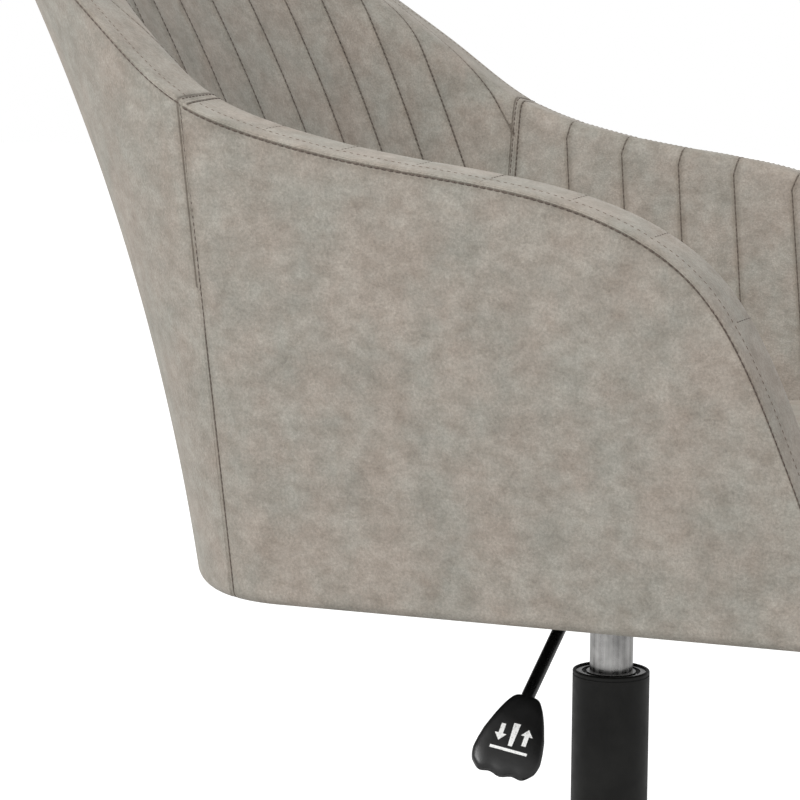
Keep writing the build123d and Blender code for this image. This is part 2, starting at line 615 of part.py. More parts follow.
for number in range(ARM_COUNT):
    arm_deg = FIRST_ARM_DEG + number * 360 / ARM_COUNT
    turn_deg = arm_deg + CASTER_TURNS[number]
    name = f"caster_{number + 1}"
    stem_foot = polar(STEM_RING_R, arm_deg)
    forward = polar(1, turn_deg)
    across = Vector(forward.Y, -forward.X, 0)
    axle_mid = stem_foot + forward * TRAIL + Vector(0, 0, WHEEL_R)
    side_plane = Plane(origin=axle_mid, x_dir=forward, z_dir=across)

    with BuildPart() as caster_stem:
        with BuildSketch(Plane(origin=stem_foot + Vector(0, 0, STEM_FOOT_Z))):
            Circle(STEM_D / 2)
        extrude(amount=STEM_L)
        with BuildSketch(Plane(origin=stem_foot + Vector(0, 0, BOSS_TOP_Z))):
            Circle(COLLAR_R)
        extrude(amount=COLLAR_H)
        fillet(caster_stem.edges().group_by(Axis.Z)[-1], 1.5)
    caster_stem.part.label = f"{name}_stem"
    export_step(caster_stem.part, f"parts/{name}_stem.step")

    with BuildPart() as caster_hood:
        with BuildSketch(side_plane):
            Circle(HOOD_OUT_R)
            with Locations((0, -HOOD_OUT_R)):
                Rectangle(3 * HOOD_OUT_R, 2 * HOOD_OUT_R, mode=Mode.SUBTRACT)
        extrude(amount=HOOD_W / 2, both=True)
        with BuildSketch(Plane(origin=stem_foot + Vector(0, 0, BOSS_FOOT_Z))):
            Circle(BOSS_R)
        extrude(amount=BOSS_TOP_Z - BOSS_FOOT_Z)
        with BuildSketch(side_plane):
            Circle(HOOD_IN_R)
        extrude(amount=HOOD_W / 2 + 1, both=True, mode=Mode.SUBTRACT)
        with BuildSketch(side_plane):
            Circle(HOOD_IN_R + 1)
            with Locations((0, -HOOD_OUT_R)):
                Rectangle(3 * HOOD_OUT_R, 2 * (HOOD_OUT_R - HOOD_LIP), mode=Mode.SUBTRACT)
        extrude(amount=HOOD_CORE_W / 2, both=True)
        with BuildSketch(side_plane):
            Circle(AXLE_D / 2)
        extrude(amount=HOOD_W, both=True, mode=Mode.SUBTRACT)
        with BuildSketch(Plane(origin=stem_foot + Vector(0, 0, STEM_FOOT_Z))):
            Circle(STEM_D / 2)
        extrude(amount=STEM_L, mode=Mode.SUBTRACT)
    caster_hood.part.label = f"{name}_hood"
    export_step(caster_hood.part, f"parts/{name}_hood.step")

    with BuildPart() as caster_axle:
        with BuildSketch(side_plane):
            Circle(AXLE_D / 2)
        extrude(amount=HOOD_CORE_W / 2 + WHEEL_W - 3, both=True)
    caster_axle.part.label = f"{name}_axle"
    export_step(caster_axle.part, f"parts/{name}_axle.step")

    for direction, wheel_name in ((1, "a"), (-1, "b")):
        inner_face = axle_mid + across * direction * (HOOD_CORE_W / 2 + WHEEL_GAP)
        wheel_plane = Plane(origin=inner_face, x_dir=forward, z_dir=across * direction)
        with BuildPart() as caster_wheel:
            with BuildSketch(wheel_plane):
                Circle(WHEEL_R)
            extrude(amount=WHEEL_W - WHEEL_GAP)
            fillet(caster_wheel.edges(), 2)
            with BuildSketch(wheel_plane.offset(WHEEL_W - WHEEL_GAP)):
                Circle(RECESS_R)
                Circle(HUB_CAP_R, mode=Mode.SUBTRACT)
            extrude(amount=-RECESS_DEPTH, mode=Mode.SUBTRACT)
            with BuildSketch(wheel_plane):
                Circle(WHEEL_BORE / 2)
            extrude(amount=WHEEL_W - WHEEL_SKIN, mode=Mode.SUBTRACT)
        caster_wheel.part.label = f"{name}_wheel_{wheel_name}"
        export_step(caster_wheel.part, f"parts/{name}_wheel_{wheel_name}.step")
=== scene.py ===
# %% [markdown]
# # A swivel tub chair on a gas lift
# The chair is a bucket of bent plywood under foam and a mottled grey coated cloth. Its inside is sewn in
# upright channels that roll over the rim. A bright gas lift, a black tube, a lever with a flared paddle and
# a five-arm base carry it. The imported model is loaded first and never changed: new pieces are built around it.

# %% Load the frame
import bpy
import json
import math
import numpy as np
from mathutils import Matrix, Vector
from mathutils.bvhtree import BVHTree


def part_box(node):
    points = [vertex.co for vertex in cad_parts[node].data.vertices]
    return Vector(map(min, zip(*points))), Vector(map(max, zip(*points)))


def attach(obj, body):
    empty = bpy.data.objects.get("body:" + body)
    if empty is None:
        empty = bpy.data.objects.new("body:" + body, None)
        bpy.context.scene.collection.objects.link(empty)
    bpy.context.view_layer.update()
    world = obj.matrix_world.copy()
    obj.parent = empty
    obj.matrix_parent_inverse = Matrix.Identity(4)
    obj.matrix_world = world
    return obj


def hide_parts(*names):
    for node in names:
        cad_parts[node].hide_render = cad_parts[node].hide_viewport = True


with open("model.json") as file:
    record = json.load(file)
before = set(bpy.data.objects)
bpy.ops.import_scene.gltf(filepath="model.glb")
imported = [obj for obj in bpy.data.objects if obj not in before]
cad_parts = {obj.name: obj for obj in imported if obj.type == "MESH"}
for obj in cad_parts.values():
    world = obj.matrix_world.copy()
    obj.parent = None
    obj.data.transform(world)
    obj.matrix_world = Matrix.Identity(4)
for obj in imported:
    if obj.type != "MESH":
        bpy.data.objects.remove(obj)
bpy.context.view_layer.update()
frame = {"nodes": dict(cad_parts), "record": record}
nodes = frame["nodes"]

# %% [markdown]
# ## Small tools
# Blender works in metres, a maker in millimetres, so sizes are written in millimetres and multiplied by MM.
# An operator acts on all that is selected, so everything is let go before each one.

# %% Tools for objects
MM = 0.001


def let_go():
    """Nothing is selected and nothing is being edited."""
    if bpy.context.object and bpy.context.object.mode != "OBJECT":
        bpy.ops.object.mode_set(mode="OBJECT")
    bpy.ops.object.select_all(action="DESELECT")


def hold(piece):
    """Only this piece is selected and active."""
    let_go()
    piece.select_set(True)
    bpy.context.view_layer.objects.active = piece


def name_it(piece, name):
    """Names the object and its mesh."""
    piece.name = name
    piece.data.name = name
    return piece


def points_of(piece):
    """The piece's points as an array, in metres."""
    flat = np.empty(len(piece.data.vertices) * 3)
    piece.data.vertices.foreach_get("co", flat)
    return flat.reshape(-1, 3)


def move_points(piece, points):
    """Puts the piece's points in new places, in metres."""
    piece.data.vertices.foreach_set("co", np.asarray(points, float).ravel())
    piece.data.update()


def apply(piece, kind, **settings):
    """Adds a modifier, sets it and applies it."""
    hold(piece)
    modifier = piece.modifiers.new(kind.title(), kind)
    for key, value in settings.items():
        setattr(modifier, key, value)
    bpy.ops.object.modifier_apply(modifier=modifier.name)
    return piece


def smooth(piece, degrees=40):
    """Smooth shading, with edges sharper than the angle kept."""
    hold(piece)
    bpy.ops.object.shade_smooth_by_angle(angle=math.radians(degrees))


def close_seams(piece, gap=0.02 * MM):
    """Joins points that lie on each other and turns the faces outward."""
    hold(piece)
    bpy.ops.object.mode_set(mode="EDIT")
    bpy.ops.mesh.select_all(action="SELECT")
    bpy.ops.mesh.remove_doubles(threshold=gap)
    bpy.ops.mesh.normals_make_consistent(inside=False)
    bpy.ops.object.mode_set(mode="OBJECT")


# %% A grid laid on a surface
def lay_grid(name, across, along, place, from_line=None):
    """A flat grid whose points are laid on a surface. Across and along are the surface's own coordinates at each
    grid line, and place turns them into X, Y and Z in millimetres. From_line gives each point's distance from a
    sewn line, which the finish reads."""
    let_go()
    bpy.ops.mesh.primitive_grid_add(x_subdivisions=len(across) - 1, y_subdivisions=len(along) - 1, size=1)
    piece = name_it(bpy.context.object, name)
    flat = points_of(piece) + 0.5
    column = np.rint(flat[:, 0] * (len(across) - 1)).astype(int)
    row = np.rint(flat[:, 1] * (len(along) - 1)).astype(int)
    across, along = np.asarray(across)[column], np.asarray(along)[row]
    move_points(piece, np.stack(place(across, along), axis=1) * MM)
    if from_line:
        layer = piece.data.attributes.new("from_line", "FLOAT", "POINT")
        layer.data.foreach_set("value", from_line(across, along))
    return piece


def face_away(piece, centre):
    """Turns an open skin over if its faces look toward the centre."""
    middle = Vector(centre) * MM
    outward = sum((p.center - middle).normalized().dot(p.normal) * p.area for p in piece.data.polygons)
    if outward < 0:
        piece.data.flip_normals()


def graded(length, step, fine=(0.0, 0.8, 1.6, 2.4, 3.4, 4.8, 6.5, 9.0)):
    """Distances along a length: fine near both ends, even between them."""
    edge = np.array(fine)
    count = max(2, int((length - 2 * edge[-1]) / step))
    middle = np.linspace(edge[-1], length - edge[-1], count + 1)
    return np.concatenate([edge[:-1], middle, (length - edge[:-1])[::-1]])


# %% [markdown]
# ## Materials
# Each finish starts from what the real one is. One function adds a node with its settings and links.
# Colours are written as they look on screen and turned to linear light.

# %% Tools for materials
def tint(code):
    """An sRGB hex colour as linear light."""
    parts = [int(code[i:i + 2], 16) / 255 for i in (0, 2, 4)]
    return [p / 12.92 if p <= 0.04045 else ((p + 0.055) / 1.055) ** 2.4 for p in parts] + [1.0]


def add_node(tree, kind, inputs=None, **settings):
    """Adds a node. Settings are its properties; inputs gives a socket's value, or the socket that feeds it."""
    node = tree.nodes.new(kind)
    for key, value in settings.items():
        setattr(node, key, value)
    for key, value in (inputs or {}).items():
        if isinstance(value, bpy.types.NodeSocket):
            tree.links.new(value, node.inputs[key])
        else:
            node.inputs[key].default_value = value
    return node


def new_finish(name, **sockets):
    """A material with one shader, and the sockets of that shader set to plain values."""
    material = bpy.data.materials.new(name)
    material.use_nodes = True
    shader = material.node_tree.nodes["Principled BSDF"]
    for key, value in sockets.items():
        shader.inputs[key.replace("_", " ")].default_value = value
    return material, material.node_tree, shader


def place_coords(tree):
    """The piece's own coordinates, in metres."""
    return add_node(tree, "ShaderNodeTexCoord").outputs["Object"]


def noise(tree, size_mm, detail=3.0, roughness=0.55, stretch=None, coords=None):
    """Cloudy noise whose lumps are about so many millimetres across."""
    coords = coords or place_coords(tree)
    if stretch:
        coords = add_node(tree, "ShaderNodeMapping", {"Vector": coords, "Scale": stretch}).outputs["Vector"]
    texture = add_node(tree, "ShaderNodeTexNoise", {"Vector": coords, "Scale": 1 / (size_mm * MM),
                                                    "Detail": detail, "Roughness": roughness})
    return texture.outputs["Fac"]


def ramp(tree, factor, stops):
    """Colours along a factor from 0 to 1. Stops are (place, hex colour)."""
    node = add_node(tree, "ShaderNodeValToRGB", {"Fac": factor})
    band = node.color_ramp
    while len(band.elements) < len(stops):
        band.elements.new(0.5)
    for element, (place, code) in zip(band.elements, stops):
        element.position = place
        element.color = tint(code)
    return node.outputs["Color"]


def to_range(tree, factor, low, high, from_low=0.3, from_high=0.7):
    """A factor spread over a range of values."""
    node = add_node(tree, "ShaderNodeMapRange", {"Value": factor, "From Min": from_low, "From Max": from_high,
                                                 "To Min": low, "To Max": high})
    return node.outputs["Result"]


def blend_colours(tree, factor, first, second, mode="MIX"):
    """Two colours mixed by a factor."""
    node = add_node(tree, "ShaderNodeMix", {"Factor": factor}, data_type="RGBA", blend_type=mode)
    for socket, value in ((node.inputs[6], first), (node.inputs[7], second)):
        if isinstance(value, bpy.types.NodeSocket):
            tree.links.new(value, socket)
        else:
            socket.default_value = value
    return node.outputs[2]


def relief(tree, shader, heights):
    """Bumps one over the other. Each is (height socket, depth in millimetres)."""
    normal = None
    for height, depth_mm in heights:
        inputs = {"Height": height, "Distance": depth_mm * MM, "Strength": 1.0}
        if normal:
            inputs["Normal"] = normal
        normal = add_node(tree, "ShaderNodeBump", inputs).outputs["Normal"]
    tree.links.new(normal, shader.inputs["Normal"])


# %% [markdown]
# ### Coated cloth
# The cover is polyurethane-coated cloth with a suede touch, printed in soft patches of warm and cool grey
# 12 to 40 mm across, with thin pale fibres between them, over a fine grain. It is nearly matt, and at a low
# angle it shows a faint soft sheen. Beside a sewn line the cloth is pressed in a little, and its colour is
# darkened there as painted shade of the crease.

# %% Coated cloth
def coated_cloth(name, sewn=False):
    """The mottled upholstery. The sewn cut also has a pressed crease along its stitch lines, with painted shade
    darkening its colour beside them.
    """
    material, tree, shader = new_finish(name, IOR=1.45, Specular_IOR_Level=0.3)
    shader.inputs["Sheen Weight"].default_value = 0.2
    shader.inputs["Sheen Roughness"].default_value = 0.55
    shader.inputs["Sheen Tint"].default_value = tint("D8D2C8")
    clouds = noise(tree, 19, detail=6, roughness=0.62)
    base = ramp(tree, clouds, [(0.3, "8B847A"), (0.5, "9C958B"), (0.7, "ABA59B")])
    hue = noise(tree, 38, detail=4, roughness=0.55, stretch=(1.0, 1.13, 0.9))
    base = blend_colours(tree, 0.45, base, ramp(tree, hue, [(0.36, "96978F"), (0.64, "A2968B")]))
    wisps = noise(tree, 9, detail=3, roughness=0.5, stretch=(1.0, 0.8, 1.3))
    base = blend_colours(tree, 0.85, base, ramp(tree, wisps, [(0.3, "E8E5E2"), (0.62, "FFFFFF")]), "MULTIPLY")
    fibres = noise(tree, 21, detail=6, roughness=0.68, stretch=(1.2, 1.0, 0.8))
    threads = ramp(tree, fibres, [(0.478, "000000"), (0.5, "FFF6EC"), (0.522, "000000")])
    base = blend_colours(tree, 0.035, base, threads, "ADD")
    speckle = noise(tree, 1.6, detail=4, roughness=0.75)
    base = blend_colours(tree, 0.9, base, ramp(tree, speckle, [(0.3, "CFCFCF"), (0.68, "FFFFFF")]), "MULTIPLY")
    grain = add_node(tree, "ShaderNodeTexVoronoi", {"Vector": place_coords(tree), "Scale": 1 / (1.3 * MM)})
    # the grain's real depth is about 0.03 mm; it is drawn a little deeper so that it shows
    heights = [(noise(tree, 9, detail=3), 0.25), (grain.outputs["Distance"], 0.12),
               (noise(tree, 0.7, detail=2), 0.06)]
    if sewn:
        away = add_node(tree, "ShaderNodeAttribute", attribute_name="from_line").outputs["Fac"]
        away = add_node(tree, "ShaderNodeMath", {0: away}, operation="ABSOLUTE").outputs["Value"]
        crease_shade_and_dip = to_range(tree, away, 0.0, 1.0, 0.15, 0.95)
        soft = to_range(tree, away, 0.0, 1.0, 0.5, 4.5)
        # painted shade: the colour is darkened beside each stitch line, strongly within about a millimetre and softly
        # out to 4.5 mm, as shade in the grooves; the narrow band also dips the relief
        base = blend_colours(tree, 0.7, base, ramp(tree, crease_shade_and_dip, [(0.0, "AAA29A"), (1.0, "FFFFFF")]), "MULTIPLY")
        base = blend_colours(tree, 0.6, base, ramp(tree, soft, [(0.0, "DEDAD6"), (1.0, "FFFFFF")]), "MULTIPLY")
        heights.append((crease_shade_and_dip, 0.5))
    tree.links.new(base, shader.inputs["Base Color"])
    tree.links.new(to_range(tree, clouds, 0.64, 0.5), shader.inputs["Roughness"])
    relief(tree, shader, heights)
    return material


cloth = coated_cloth("coated_cloth_grey")
sewn_cloth = coated_cloth("coated_cloth_grey_sewn", sewn=True)
print("cloth patches 19 mm, wisps 9 mm, grain 1.3 mm")


# %% [markdown]
# ### Thread, plastics, paint and metals
# The sewing thread is dark brown polyester. Moulded nylon carries a fine spark-eroded grain, powder coat a
# faint orange peel. The drawn steel of the gas lift has light and dark streaks along it, partly draw marks and
# partly painted reflection of the surroundings, and ground rods have fine rings.

# %% Thread
def thread_finish(name, code, rough=0.6):
    """Twisted polyester thread: the strands show as a fine slant."""
    material, tree, shader = new_finish(name, Roughness=rough)
    fibre = noise(tree, 0.5, detail=2)
    tree.links.new(ramp(tree, fibre, [(0.3, code), (0.75, "6B5B50")]), shader.inputs["Base Color"])
    relief(tree, shader, [(fibre, 0.08)])
    return material


dark_thread = thread_finish("polyester_thread_dark", "2A211C")
light_thread = thread_finish("polyester_thread_grey", "6E645A")


# %% Moulded plastics
def moulded(name, code, light_code, rough, grain_mm, depth_mm):
    """Moulded plastic: an even colour with a fine grain and slightly uneven gloss."""
    material, tree, shader = new_finish(name, IOR=1.5)
    patches = noise(tree, 18, detail=4)
    tree.links.new(ramp(tree, patches, [(0.3, code), (0.72, light_code)]), shader.inputs["Base Color"])
    tree.links.new(to_range(tree, patches, rough - 0.05, rough + 0.07), shader.inputs["Roughness"])
    relief(tree, shader, [(noise(tree, grain_mm, detail=3), depth_mm)])
    return material


base_nylon = moulded("glass_filled_nylon_black", "0E0E0E", "191919", 0.42, 0.9, 0.06)
handle_nylon = moulded("spark_grained_nylon_black", "101010", "1C1C1C", 0.36, 0.7, 0.05)
caster_nylon = moulded("caster_nylon_black", "0F0F0F", "1A1A1A", 0.34, 0.8, 0.03)
wheel_nylon = moulded("wheel_nylon_black", "141414", "262626", 0.5, 1.2, 0.08)
bush_acetal = moulded("acetal_black", "0A0A0A", "121212", 0.16, 2.0, 0.01)
cage_nylon = moulded("cage_nylon_natural", "B5B09C", "C8C3B0", 0.45, 1.0, 0.04)
buffer_rubber = moulded("buffer_rubber_black", "121212", "1B1B1B", 0.7, 1.0, 0.06)


# %% Painted steel
def painted(name, code, light_code, rough, peel_mm=2.4, depth_mm=0.04, gloss=0.5):
    """Powder coat or stoved paint on steel: satin, with a faint orange peel and fine dust-sized grain."""
    material, tree, shader = new_finish(name, IOR=1.5, Specular_IOR_Level=gloss)
    peel = noise(tree, peel_mm, detail=2)
    tree.links.new(ramp(tree, noise(tree, 30, detail=4), [(0.3, code), (0.7, light_code)]),
                   shader.inputs["Base Color"])
    tree.links.new(to_range(tree, noise(tree, 7, detail=3), rough - 0.05, rough + 0.06),
                   shader.inputs["Roughness"])
    relief(tree, shader, [(peel, depth_mm), (noise(tree, 0.5), 0.012)])
    return material


tube_paint = painted("powder_coat_black", "151514", "232321", 0.46, gloss=0.22)
plate_paint = painted("stoved_paint_black", "161616", "202020", 0.4)
lever_paint = painted("stoved_paint_gloss_black", "0B0B0B", "141414", 0.28)


# %% Bright steels
def ground_steel(name, dark, light, rough, ring_mm=0.6, rings_along=(1.0, 1.0, 1.0)):
    """Ground or zinc-plated steel: fine lines round the axis vary its gloss."""
    material, tree, shader = new_finish(name, Metallic=1.0)
    lines = noise(tree, ring_mm, detail=3, stretch=rings_along)
    stains = noise(tree, 14, detail=4)
    tone = blend_colours(tree, 0.5, ramp(tree, lines, [(0.3, dark), (0.7, light)]),
                         ramp(tree, stains, [(0.3, dark), (0.7, light)]))
    tree.links.new(tone, shader.inputs["Base Color"])
    tree.links.new(to_range(tree, lines, rough - 0.07, rough + 0.1), shader.inputs["Roughness"])
    relief(tree, shader, [(lines, 0.006)])
    return material


RINGS = (0.03, 0.03, 1.0)       # stretched round the upright axis, so that they read as rings
DRAW_AND_REFLECTION_STREAKS = (1.0, 1.0, 0.03)      # stretched along it: streaks of draw marks and of painted reflection
# painted reflection: the cylinder's colour runs in long light and dark streaks along the tube, standing in for its
# streaky reflections as well as its draw marks
cylinder_steel = ground_steel("drawn_steel_lacquered", "6C6B6A", "D2D1CF", 0.27, 4.5, DRAW_AND_REFLECTION_STREAKS)
rod_chrome = ground_steel("hard_chrome", "C6C6C6", "DADADA", 0.12, 0.7, RINGS)
zinc_steel = ground_steel("zinc_plated_steel", "A9ACB0", "C4C7CA", 0.3, 1.5)
bearing_steel = ground_steel("ground_bearing_steel", "B4B4B4", "D2D2D2", 0.15, 0.5)


# %% Plywood and underside cloth
def birch_plywood(name):
    """Raw birch: long pale grain, with darker glue lines."""
    material, tree, shader = new_finish(name, Roughness=0.62)
    grain = noise(tree, 3.0, detail=5, stretch=(0.08, 1.0, 1.0))
    tree.links.new(ramp(tree, grain, [(0.3, "B08A5E"), (0.7, "D6B88C")]), shader.inputs["Base Color"])
    relief(tree, shader, [(grain, 0.08)])
    return material


def non_woven(name):
    """Spunbonded cloth: flat black fibres pressed in a dotted pattern."""
    material, tree, shader = new_finish(name, Roughness=0.85)
    dots = add_node(tree, "ShaderNodeTexVoronoi", {"Vector": place_coords(tree), "Scale": 1 / (2.0 * MM)})
    fibres = noise(tree, 0.9, detail=4, stretch=(1.0, 0.3, 1.0))
    tree.links.new(ramp(tree, fibres, [(0.3, "141414"), (0.7, "262626")]), shader.inputs["Base Color"])
    relief(tree, shader, [(dots.outputs["Distance"], 0.15), (fibres, 0.1)])
    return material


plywood = birch_plywood("birch_plywood")
underside_cloth = non_woven("spunbonded_cloth_black")

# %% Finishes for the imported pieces
FINISH_OF = {"base_nylon": base_nylon, "tube_paint": tube_paint, "bush_plastic": bush_acetal,
             "bearing_steel": bearing_steel, "cage_plastic": cage_nylon, "rod_chrome": rod_chrome,
             "zinc_steel": zinc_steel, "buffer_rubber": buffer_rubber, "cylinder_steel": cylinder_steel,
             "plate_paint": plate_paint, "lever_paint": lever_paint, "handle_plastic": handle_nylon,
             "plywood": plywood, "grey_upholstery": cloth, "underside_cloth": underside_cloth,
             "caster_nylon": caster_nylon, "wheel_nylon": wheel_nylon}
for part in frame["record"]["subparts"]:
    mesh = nodes[part["node"]].data
    mesh.materials.clear()
    mesh.materials.append(FINISH_OF[part["material_slot"]])


def finish_piece(piece, material, body, slot_name, *stands_for):
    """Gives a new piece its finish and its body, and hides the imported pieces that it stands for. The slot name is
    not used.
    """
    piece.data.materials.clear()
    piece.data.materials.append(material)
    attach(piece, body)
    if stands_for:
        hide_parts(*stands_for)
    print(piece.name, len(piece.data.polygons), "faces")
    return piece


# %% [markdown]
# ## The tub's shape
# The wall's plan is a half-ellipse with straight arms, and it grows wider toward the top. The same formula
# gives the outer skin and, inset by the wall's thickness, the inner one. In a side view one smooth line is
# the rim: it climbs the arm's front, runs back along the arm and rises to the top of the back.

# %% The tub's formula
BOTTOM_Z = 370.0
UNDER_Z = 367.3         # the covers' lowest line, where they turn under
TURN_R = 6.5
WALL = 48.0
SEAM_Y = 157.0
RIM = np.array([(-202, 370), (-188, 436), (-176, 472), (-155, 526), (-130, 566), (-80, 599), (-20, 615.5),
                (40, 625), (120, 643), (160, 659), (210, 696), (270, 743), (340, 792), (390, 811), (440, 817)],
               float)


def tub_size(z):
    """Half width, the back's Y and the Y where the arm meets the ellipse, at height z."""
    rise = (z - BOTTOM_Z) / 280.0
    return 248.6 + 53.0 * rise, 245.5 + 31.8 * rise + 48.3 * rise**2, 123.8 + 9.7 * rise


def arm_x(y, z, inset):
    """Half the tub's width at a place in the side view."""
    half_w, back_y, join_y = tub_size(z)
    share = np.clip((y - join_y) / (back_y - inset - join_y), 0.0, 0.999)
    return (half_w - inset) * np.sqrt(1.0 - share**2)


def back_xy(turn, z, inset):
    """The plan's X and Y at an angle on the half-ellipse."""
    half_w, back_y, join_y = tub_size(z)
    return (half_w - inset) * np.cos(turn), join_y + (back_y - inset - join_y) * np.sin(turn)


# %% The rim's line
def smooth_line(points, count):
    """A cubic spline through points in a plane, natural at its ends."""
    knots = np.concatenate([[0.0], np.cumsum(np.linalg.norm(np.diff(points, axis=0), axis=1))])
    gaps = np.diff(knots)
    system = np.eye(len(points))
    right = np.zeros_like(points)
    for k in range(1, len(points) - 1):
        system[k, k - 1:k + 2] = gaps[k - 1], 2 * (gaps[k - 1] + gaps[k]), gaps[k]
        right[k] = 6 * ((points[k + 1] - points[k]) / gaps[k] - (points[k] - points[k - 1]) / gaps[k - 1])
    bend = np.linalg.solve(system, right)
    at = np.linspace(0.0, knots[-1], count)
    k = np.clip(np.searchsorted(knots, at) - 1, 0, len(gaps) - 1)
    before, after, gap = (at - knots[k])[:, None], (knots[k + 1] - at)[:, None], gaps[k][:, None]
    cubic = (bend[k] * after**3 + bend[k + 1] * before**3) / (6 * gap)
    line = (points[k] / gap - bend[k] * gap / 6) * after + (points[k + 1] / gap - bend[k + 1] * gap / 6) * before
    return cubic + line


rim_yz = smooth_line(RIM, 3000)
rim_s = np.concatenate([[0.0], np.cumsum(np.linalg.norm(np.diff(rim_yz, axis=0), axis=1))])
rim_run = np.gradient(rim_yz, rim_s, axis=0)
seam_s = float(np.interp(SEAM_Y, rim_yz[:, 0], rim_s))
print("rim line", round(rim_s[-1]), "mm, seam at", round(seam_s), "mm")


def rim_at(s):
    """The rim's Y and Z and its direction at a length along it."""
    return [np.interp(s, rim_s, values) for values in (*rim_yz.T, *rim_run.T)]


def rim_height(y):
    return np.interp(y, rim_yz[:, 0], rim_yz[:, 1])


def rim_slope_cosine(y):
    return np.interp(y, rim_yz[:, 0], rim_run[:, 0])


# %% [markdown]
# ### The roll over the rim
# Seen in section, the padded rim is as wide as the wall. It starts at a seam on the outer face, climbs gently
# to a crest near the inside and turns down into the tub over a rounded inner edge. A section point has an
# inset from the tub's outer face and a drop below the rim's line.

# %% The roll's section
SEAM_DROP = 3.6
ROLL = np.array([(0.3, 3.6), (1.0, 3.0), (3, 2.5), (7, 2.05), (12, 1.6), (18, 1.15), (24, 0.75), (30, 0.4),
                 (35, 0.12), (39, 0.0), (42.5, 0.45), (45.2, 2.0), (47, 4.8), (47.8, 8.5), (48.0, 13.0)])
ROLL_ROWS = 30
roll_line = smooth_line(ROLL, ROLL_ROWS)


def section_at(row):
    """Inset and drop at a row of the roll, from 0 at the outer seam to 1 at the inner face."""
    at = np.linspace(0, 1, ROLL_ROWS)
    return np.interp(row, at, roll_line[:, 0]), np.interp(row, at, roll_line[:, 1])


# %% Points on the back
def seam_turn(z, inset):
    """The ellipse angle where the back meets the corner seam."""
    _, back_y, join_y = tub_size(z)
    return np.arcsin((SEAM_Y - join_y) / (back_y - inset - join_y))


def turn_at(share, z, inset):
    """The angle at a share of the way from the left seam to the right one."""
    edge = seam_turn(z, inset)
    return edge + share * (np.pi - 2 * edge)


def crest(share, inset, twist=0.0):
    """The rim's height on the back, found by walking to where the wall meets the rim's line."""
    z = np.full(np.shape(share), 700.0)
    for _ in range(60):
        z = 0.5 * z + 0.5 * rim_height(back_xy(turn_at(share, z, inset) + twist, z, inset)[1])
    return z


shares = np.linspace(0, 1, 1201)
ridge_z = crest(shares, np.full(shares.shape, WALL))
ridge_turn = turn_at(shares, ridge_z, WALL)
ridge_x, ridge_y = back_xy(ridge_turn, ridge_z, WALL)
ridge_length = np.concatenate([[0.0], np.cumsum(np.hypot(np.diff(ridge_x), np.diff(ridge_y)))])
print("inner ridge of the back", round(ridge_length[-1]), "mm")


def roll_twist():
    """How far each column turns between the inner ridge and the outer seam, to cross the rim squarely."""
    half_w, back_y, join_y = tub_size(ridge_z)
    ahead = np.stack([(back_y - WALL - join_y) * np.cos(ridge_turn), (half_w - WALL) * np.sin(ridge_turn)])
    ahead = ahead / np.linalg.norm(ahead, axis=0)
    out_x, out_y = ridge_x + WALL * ahead[0], ridge_y + WALL * ahead[1]
    turned = np.arctan2((out_y - join_y) / (back_y - join_y), out_x / half_w)
    from_seam = np.minimum(ridge_length, ridge_length[-1] - ridge_length)
    ease = np.clip(from_seam / 45.0, 0, 1)
    return (turned - turn_at(shares, ridge_z, 0.0)) * ease**2 * (3 - 2 * ease)


twists = roll_twist()


def back_roll(share, inset, drop):
    """A point of the back's rim: X, Y and Z."""
    twist = np.interp(share, shares, twists) * (1 - inset / WALL)
    top = crest(share, inset, twist)
    y_top = back_xy(turn_at(share, top, inset) + twist, top, inset)[1]
    z = top - drop / rim_slope_cosine(y_top)
    x, y = back_xy(turn_at(share, z, inset) + twist, z, inset)
    return x, y, z


# %% [markdown]
# ### Grooves
# The channels are sewn through the foam, so each stitch line pulls a narrow valley with softly rounded sides.
# On the back the lines stand in upright planes, so they run into the corner seams lower down. On the arms
# they lean slightly forward as they go down.

# %% Grooves
BACK_GROOVES = (0.0, 46.0, 91.0, 129.0, 163.0, 195.0, 221.0, 246.0)
back_lines = np.array(sorted({-x for x in BACK_GROOVES} | set(BACK_GROOVES)))
ARM_GROOVES = (115.0, 71.0, 28.0, -14.0, -59.0, -103.0, -146.0)
arm_lines = np.array([float(np.interp(y, rim_yz[:, 0], rim_s)) for y in ARM_GROOVES])


def valley(distance, depth=3.0):
    """How deep the skin lies at a distance from a stitch line."""
    return depth * (0.4 * np.exp(-(distance / 1.9) ** 2) + 0.45 * np.exp(-distance / 8.0))


def groove_depth(row):
    """The grooves fade out over the roll, toward the outer seam."""
    return 0.5 + 2.5 * np.clip(row, 0, 1) ** 4


def nearest(value, lines):
    """The distance to the nearest of some lines."""
    return np.min(np.abs(value[:, None] - lines[None, :]), axis=1)


SEAM_STITCH = 2.6       # from the corner seam's joint to its stitches, on either side
BESIDE_SEAM = (0.0, 0.7, 1.5, 2.1, 2.6, 3.1, 3.8, 4.8)   # how far from a seam its nearest columns stand
FAR = 8.0               # beyond this distance a crease is not told apart


def crease(*distances):
    """The distance from the nearest of several pressed creases. Its sign changes at each one, so that it stays
    exact between two points."""
    sign = np.prod([np.where(distance < 0, -1, 1) for distance in distances], axis=0)
    return sign * np.minimum(np.min(np.abs(np.stack(np.broadcast_arrays(*distances))), axis=0), FAR)


def channel_crease(distance, value, lines, row):
    """The signed distance from a channel's line. The crease fades over the roll."""
    faded = np.clip(distance, FAR * np.clip((0.8 - row) / 0.5, 0, 1), FAR)
    return faded * (1 - 2 * (np.searchsorted(lines, value) % 2))


def seam_dip(distance):
    """A double-sewn seam: its stitches pull in on both sides of a joint that opens a hair."""
    return 0.6 * np.exp(-((distance - SEAM_STITCH) / 1.0) ** 2) + 0.6 * np.exp(-(distance / 0.7) ** 2)


